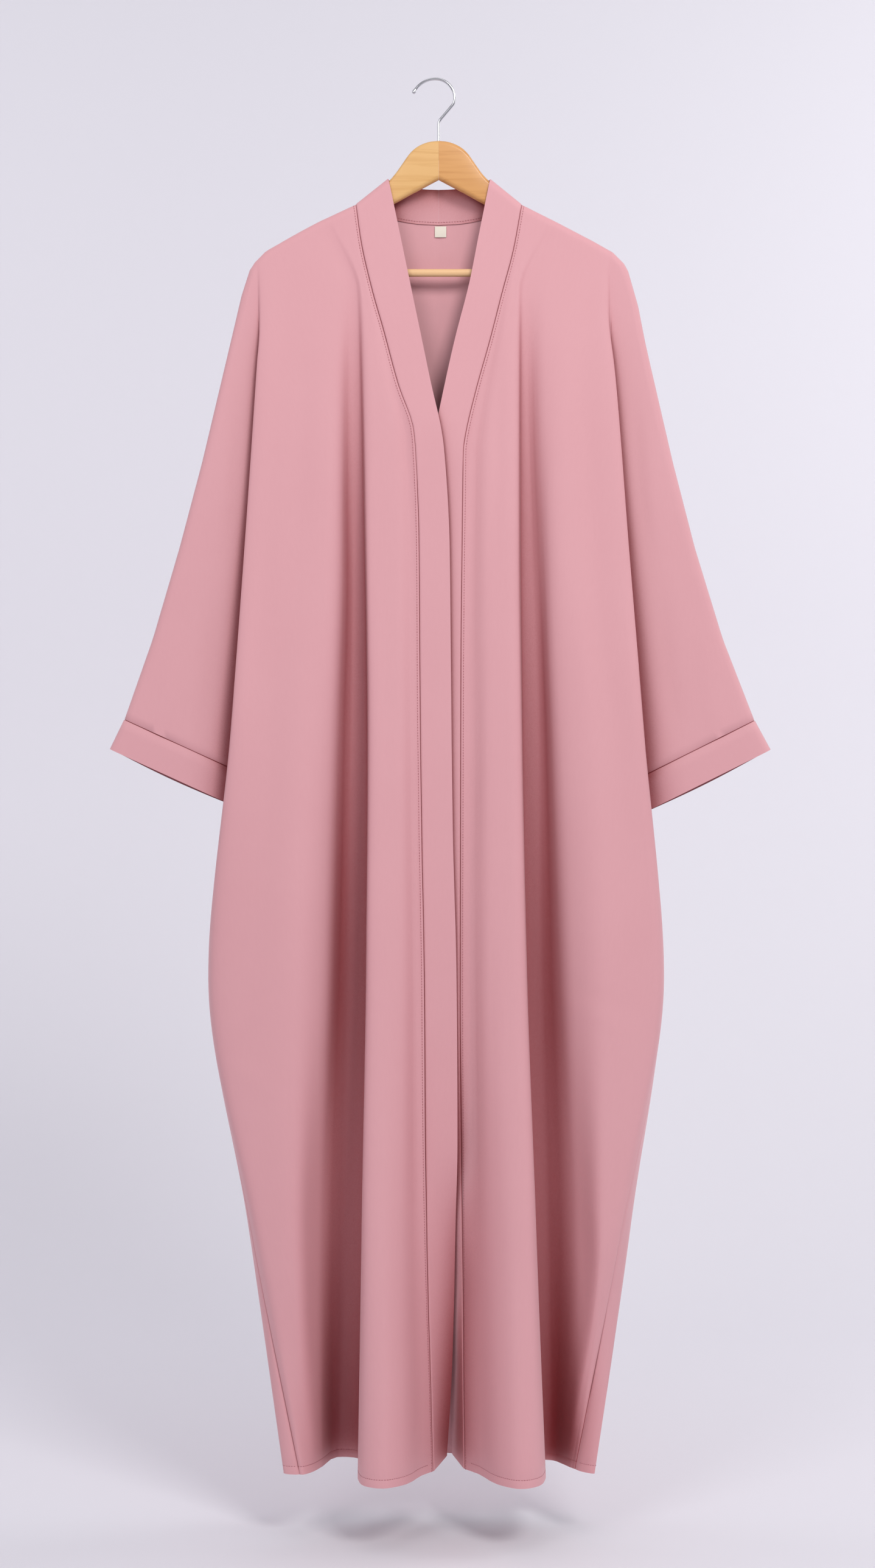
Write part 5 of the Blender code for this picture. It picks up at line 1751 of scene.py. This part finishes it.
@dataclass
class Studio:
    """Pale sweep, soft lights and the camera."""

    floor_height: float = -1.668
    back: float = 2.4
    half_width: float = 6.0
    front: float = -7.0
    bend: float = 1.2
    rise: float = 4.0
    distance: float = 3.2
    eye: float = -0.809
    aside: float = -0.0014
    lens: float = 63.9
    sensor: float = 36.0
    sky: tuple[float, float, float, float] = (0.93, 0.93, 1.0, 1.0)
    sky_strength: float = 0.42
    bend_steps: int = 12
    lamps: Sequence[Lamp] = (
        Lamp("key", (1.1, -2.6, 1.2), (0.0, 0.0, -0.5), 1.0, 50.0, (1.0, 0.985, 0.98)),
        Lamp("fill", (-1.3, -2.7, 0.9), (0.0, 0.0, -0.5), 1.2, 20.0, (0.98, 0.97, 1.0)),
        Lamp("top", (0.0, -0.8, 2.2), (0.0, 0.1, -1.0), 1.6, 7.0),
        Lamp("sweep", (2.2, 0.7, 0.5), (0.6, 2.4, -0.7), 2.0, 26.0, (1.0, 1.0, 1.0)),
        Lamp("sweep_left", (-2.2, 0.7, 0.5), (-0.6, 2.4, -0.7), 2.0, 13.0, (0.97, 0.97, 1.0)),
    )

    def sweep(self) -> None:
        """Build the floor that bends up into the backdrop."""
        profile = [(self.front, self.floor_height)]
        for k in range(self.bend_steps + 1):
            angle = math.pi / 2 * k / self.bend_steps
            profile.append((self.back - self.bend + self.bend * math.sin(angle),
                            self.floor_height + self.bend - self.bend * math.cos(angle)))
        profile.append((self.back, self.rise))
        verts = [Vector((x, y, z)) for y, z in profile for x in (-self.half_width, self.half_width)]
        faces = [[2 * i, 2 * i + 2, 2 * i + 3, 2 * i + 1] for i in range(len(profile) - 1)]
        paper = Shading("pale_paper", (0.79, 0.775, 0.82), 0.85)
        paper.feed("Alpha", paper.node("ShaderNodeNewGeometry", None, None, "Backfacing"))
        floor = make_piece("sweep", verts, faces, paper.material)

    def build(self) -> None:
        """Make the stage, the lights, the world and the camera."""
        self.sweep()
        for lamp in self.lamps:
            lamp.build()
        world = bpy.data.worlds.new("studio")
        world.use_nodes = True
        background = world.node_tree.nodes["Background"]
        background.inputs[0].default_value = self.sky
        background.inputs[1].default_value = self.sky_strength
        bpy.context.scene.world = world
        bpy.context.scene.view_settings.view_transform = "Standard"
        data = bpy.data.cameras.new("camera")
        data.lens = self.lens
        data.sensor_width = self.sensor
        data.sensor_fit = "AUTO"
        camera = bpy.data.objects.new("camera", data)
        camera.location = (self.aside, -self.distance, self.eye)
        camera.rotation_euler = (math.pi / 2, 0.0, 0.0)
        bpy.context.scene.collection.objects.link(camera)
        bpy.context.scene.camera = camera


def main() -> None:
    """Load the solids and dress every piece."""
    logging.basicConfig(level=logging.INFO, format="%(name)s %(message)s")
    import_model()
    Studio().build()
    # Both cloth materials paint shade into their colour; the back's painted shade darkens only the
    # most closed-in places, such as its inside seen at the neck and between the bands
    cloth = ClothFinish().build()
    back_cloth_painted_shade = ClothFinish("rose_crepe_back", shade_reach=0.06, shade_from=0.02,
                             shade_to=0.32).build()
    thread = ThreadFinish("rose_thread", (0.40, 0.13, 0.15)).build()
    cream = ThreadFinish("woven_cream", (0.84, 0.78, 0.66), 0.85).build()
    stitcher = Stitcher()
    panels = Panels(cloth)
    trims = Trims(cloth, cream)
    drapes = [Drape(side) for side in SIDES]
    for drape in drapes:
        panels.front(drape, stitcher, thread)
        trims.band(drape, panels.levels, stitcher, thread)
        trims.cuff(drape, panels.sleeve_levels(drape.side))
    panels.back(drapes, back_cloth_painted_shade, stitcher, thread)
    trims.label()
    # Painted light and shade: the right arm's beech is painted lighter and the left arm's darker,
    # for how the light falls on each; their grain leans opposite ways
    arms = {"right": WoodFinish("beech_painted_light", (0.77, 0.45, 0.165), (0.68, 0.36, 0.11), -0.6),
            "left": WoodFinish("beech_painted_shade", (0.70, 0.345, 0.11), (0.60, 0.27, 0.075), 0.6)}
    hanger = Hanger({name: finish.build() for name, finish in arms.items()},
                    WoodFinish("bar_beech", (0.86, 0.54, 0.27), (0.76, 0.45, 0.20), 0.0).build(),
                    MetalFinish().build())
    for drape in drapes:
        hanger.arm(drape)
    hanger.hook()
    hanger.bar()


if __name__ == "__main__":
    main()
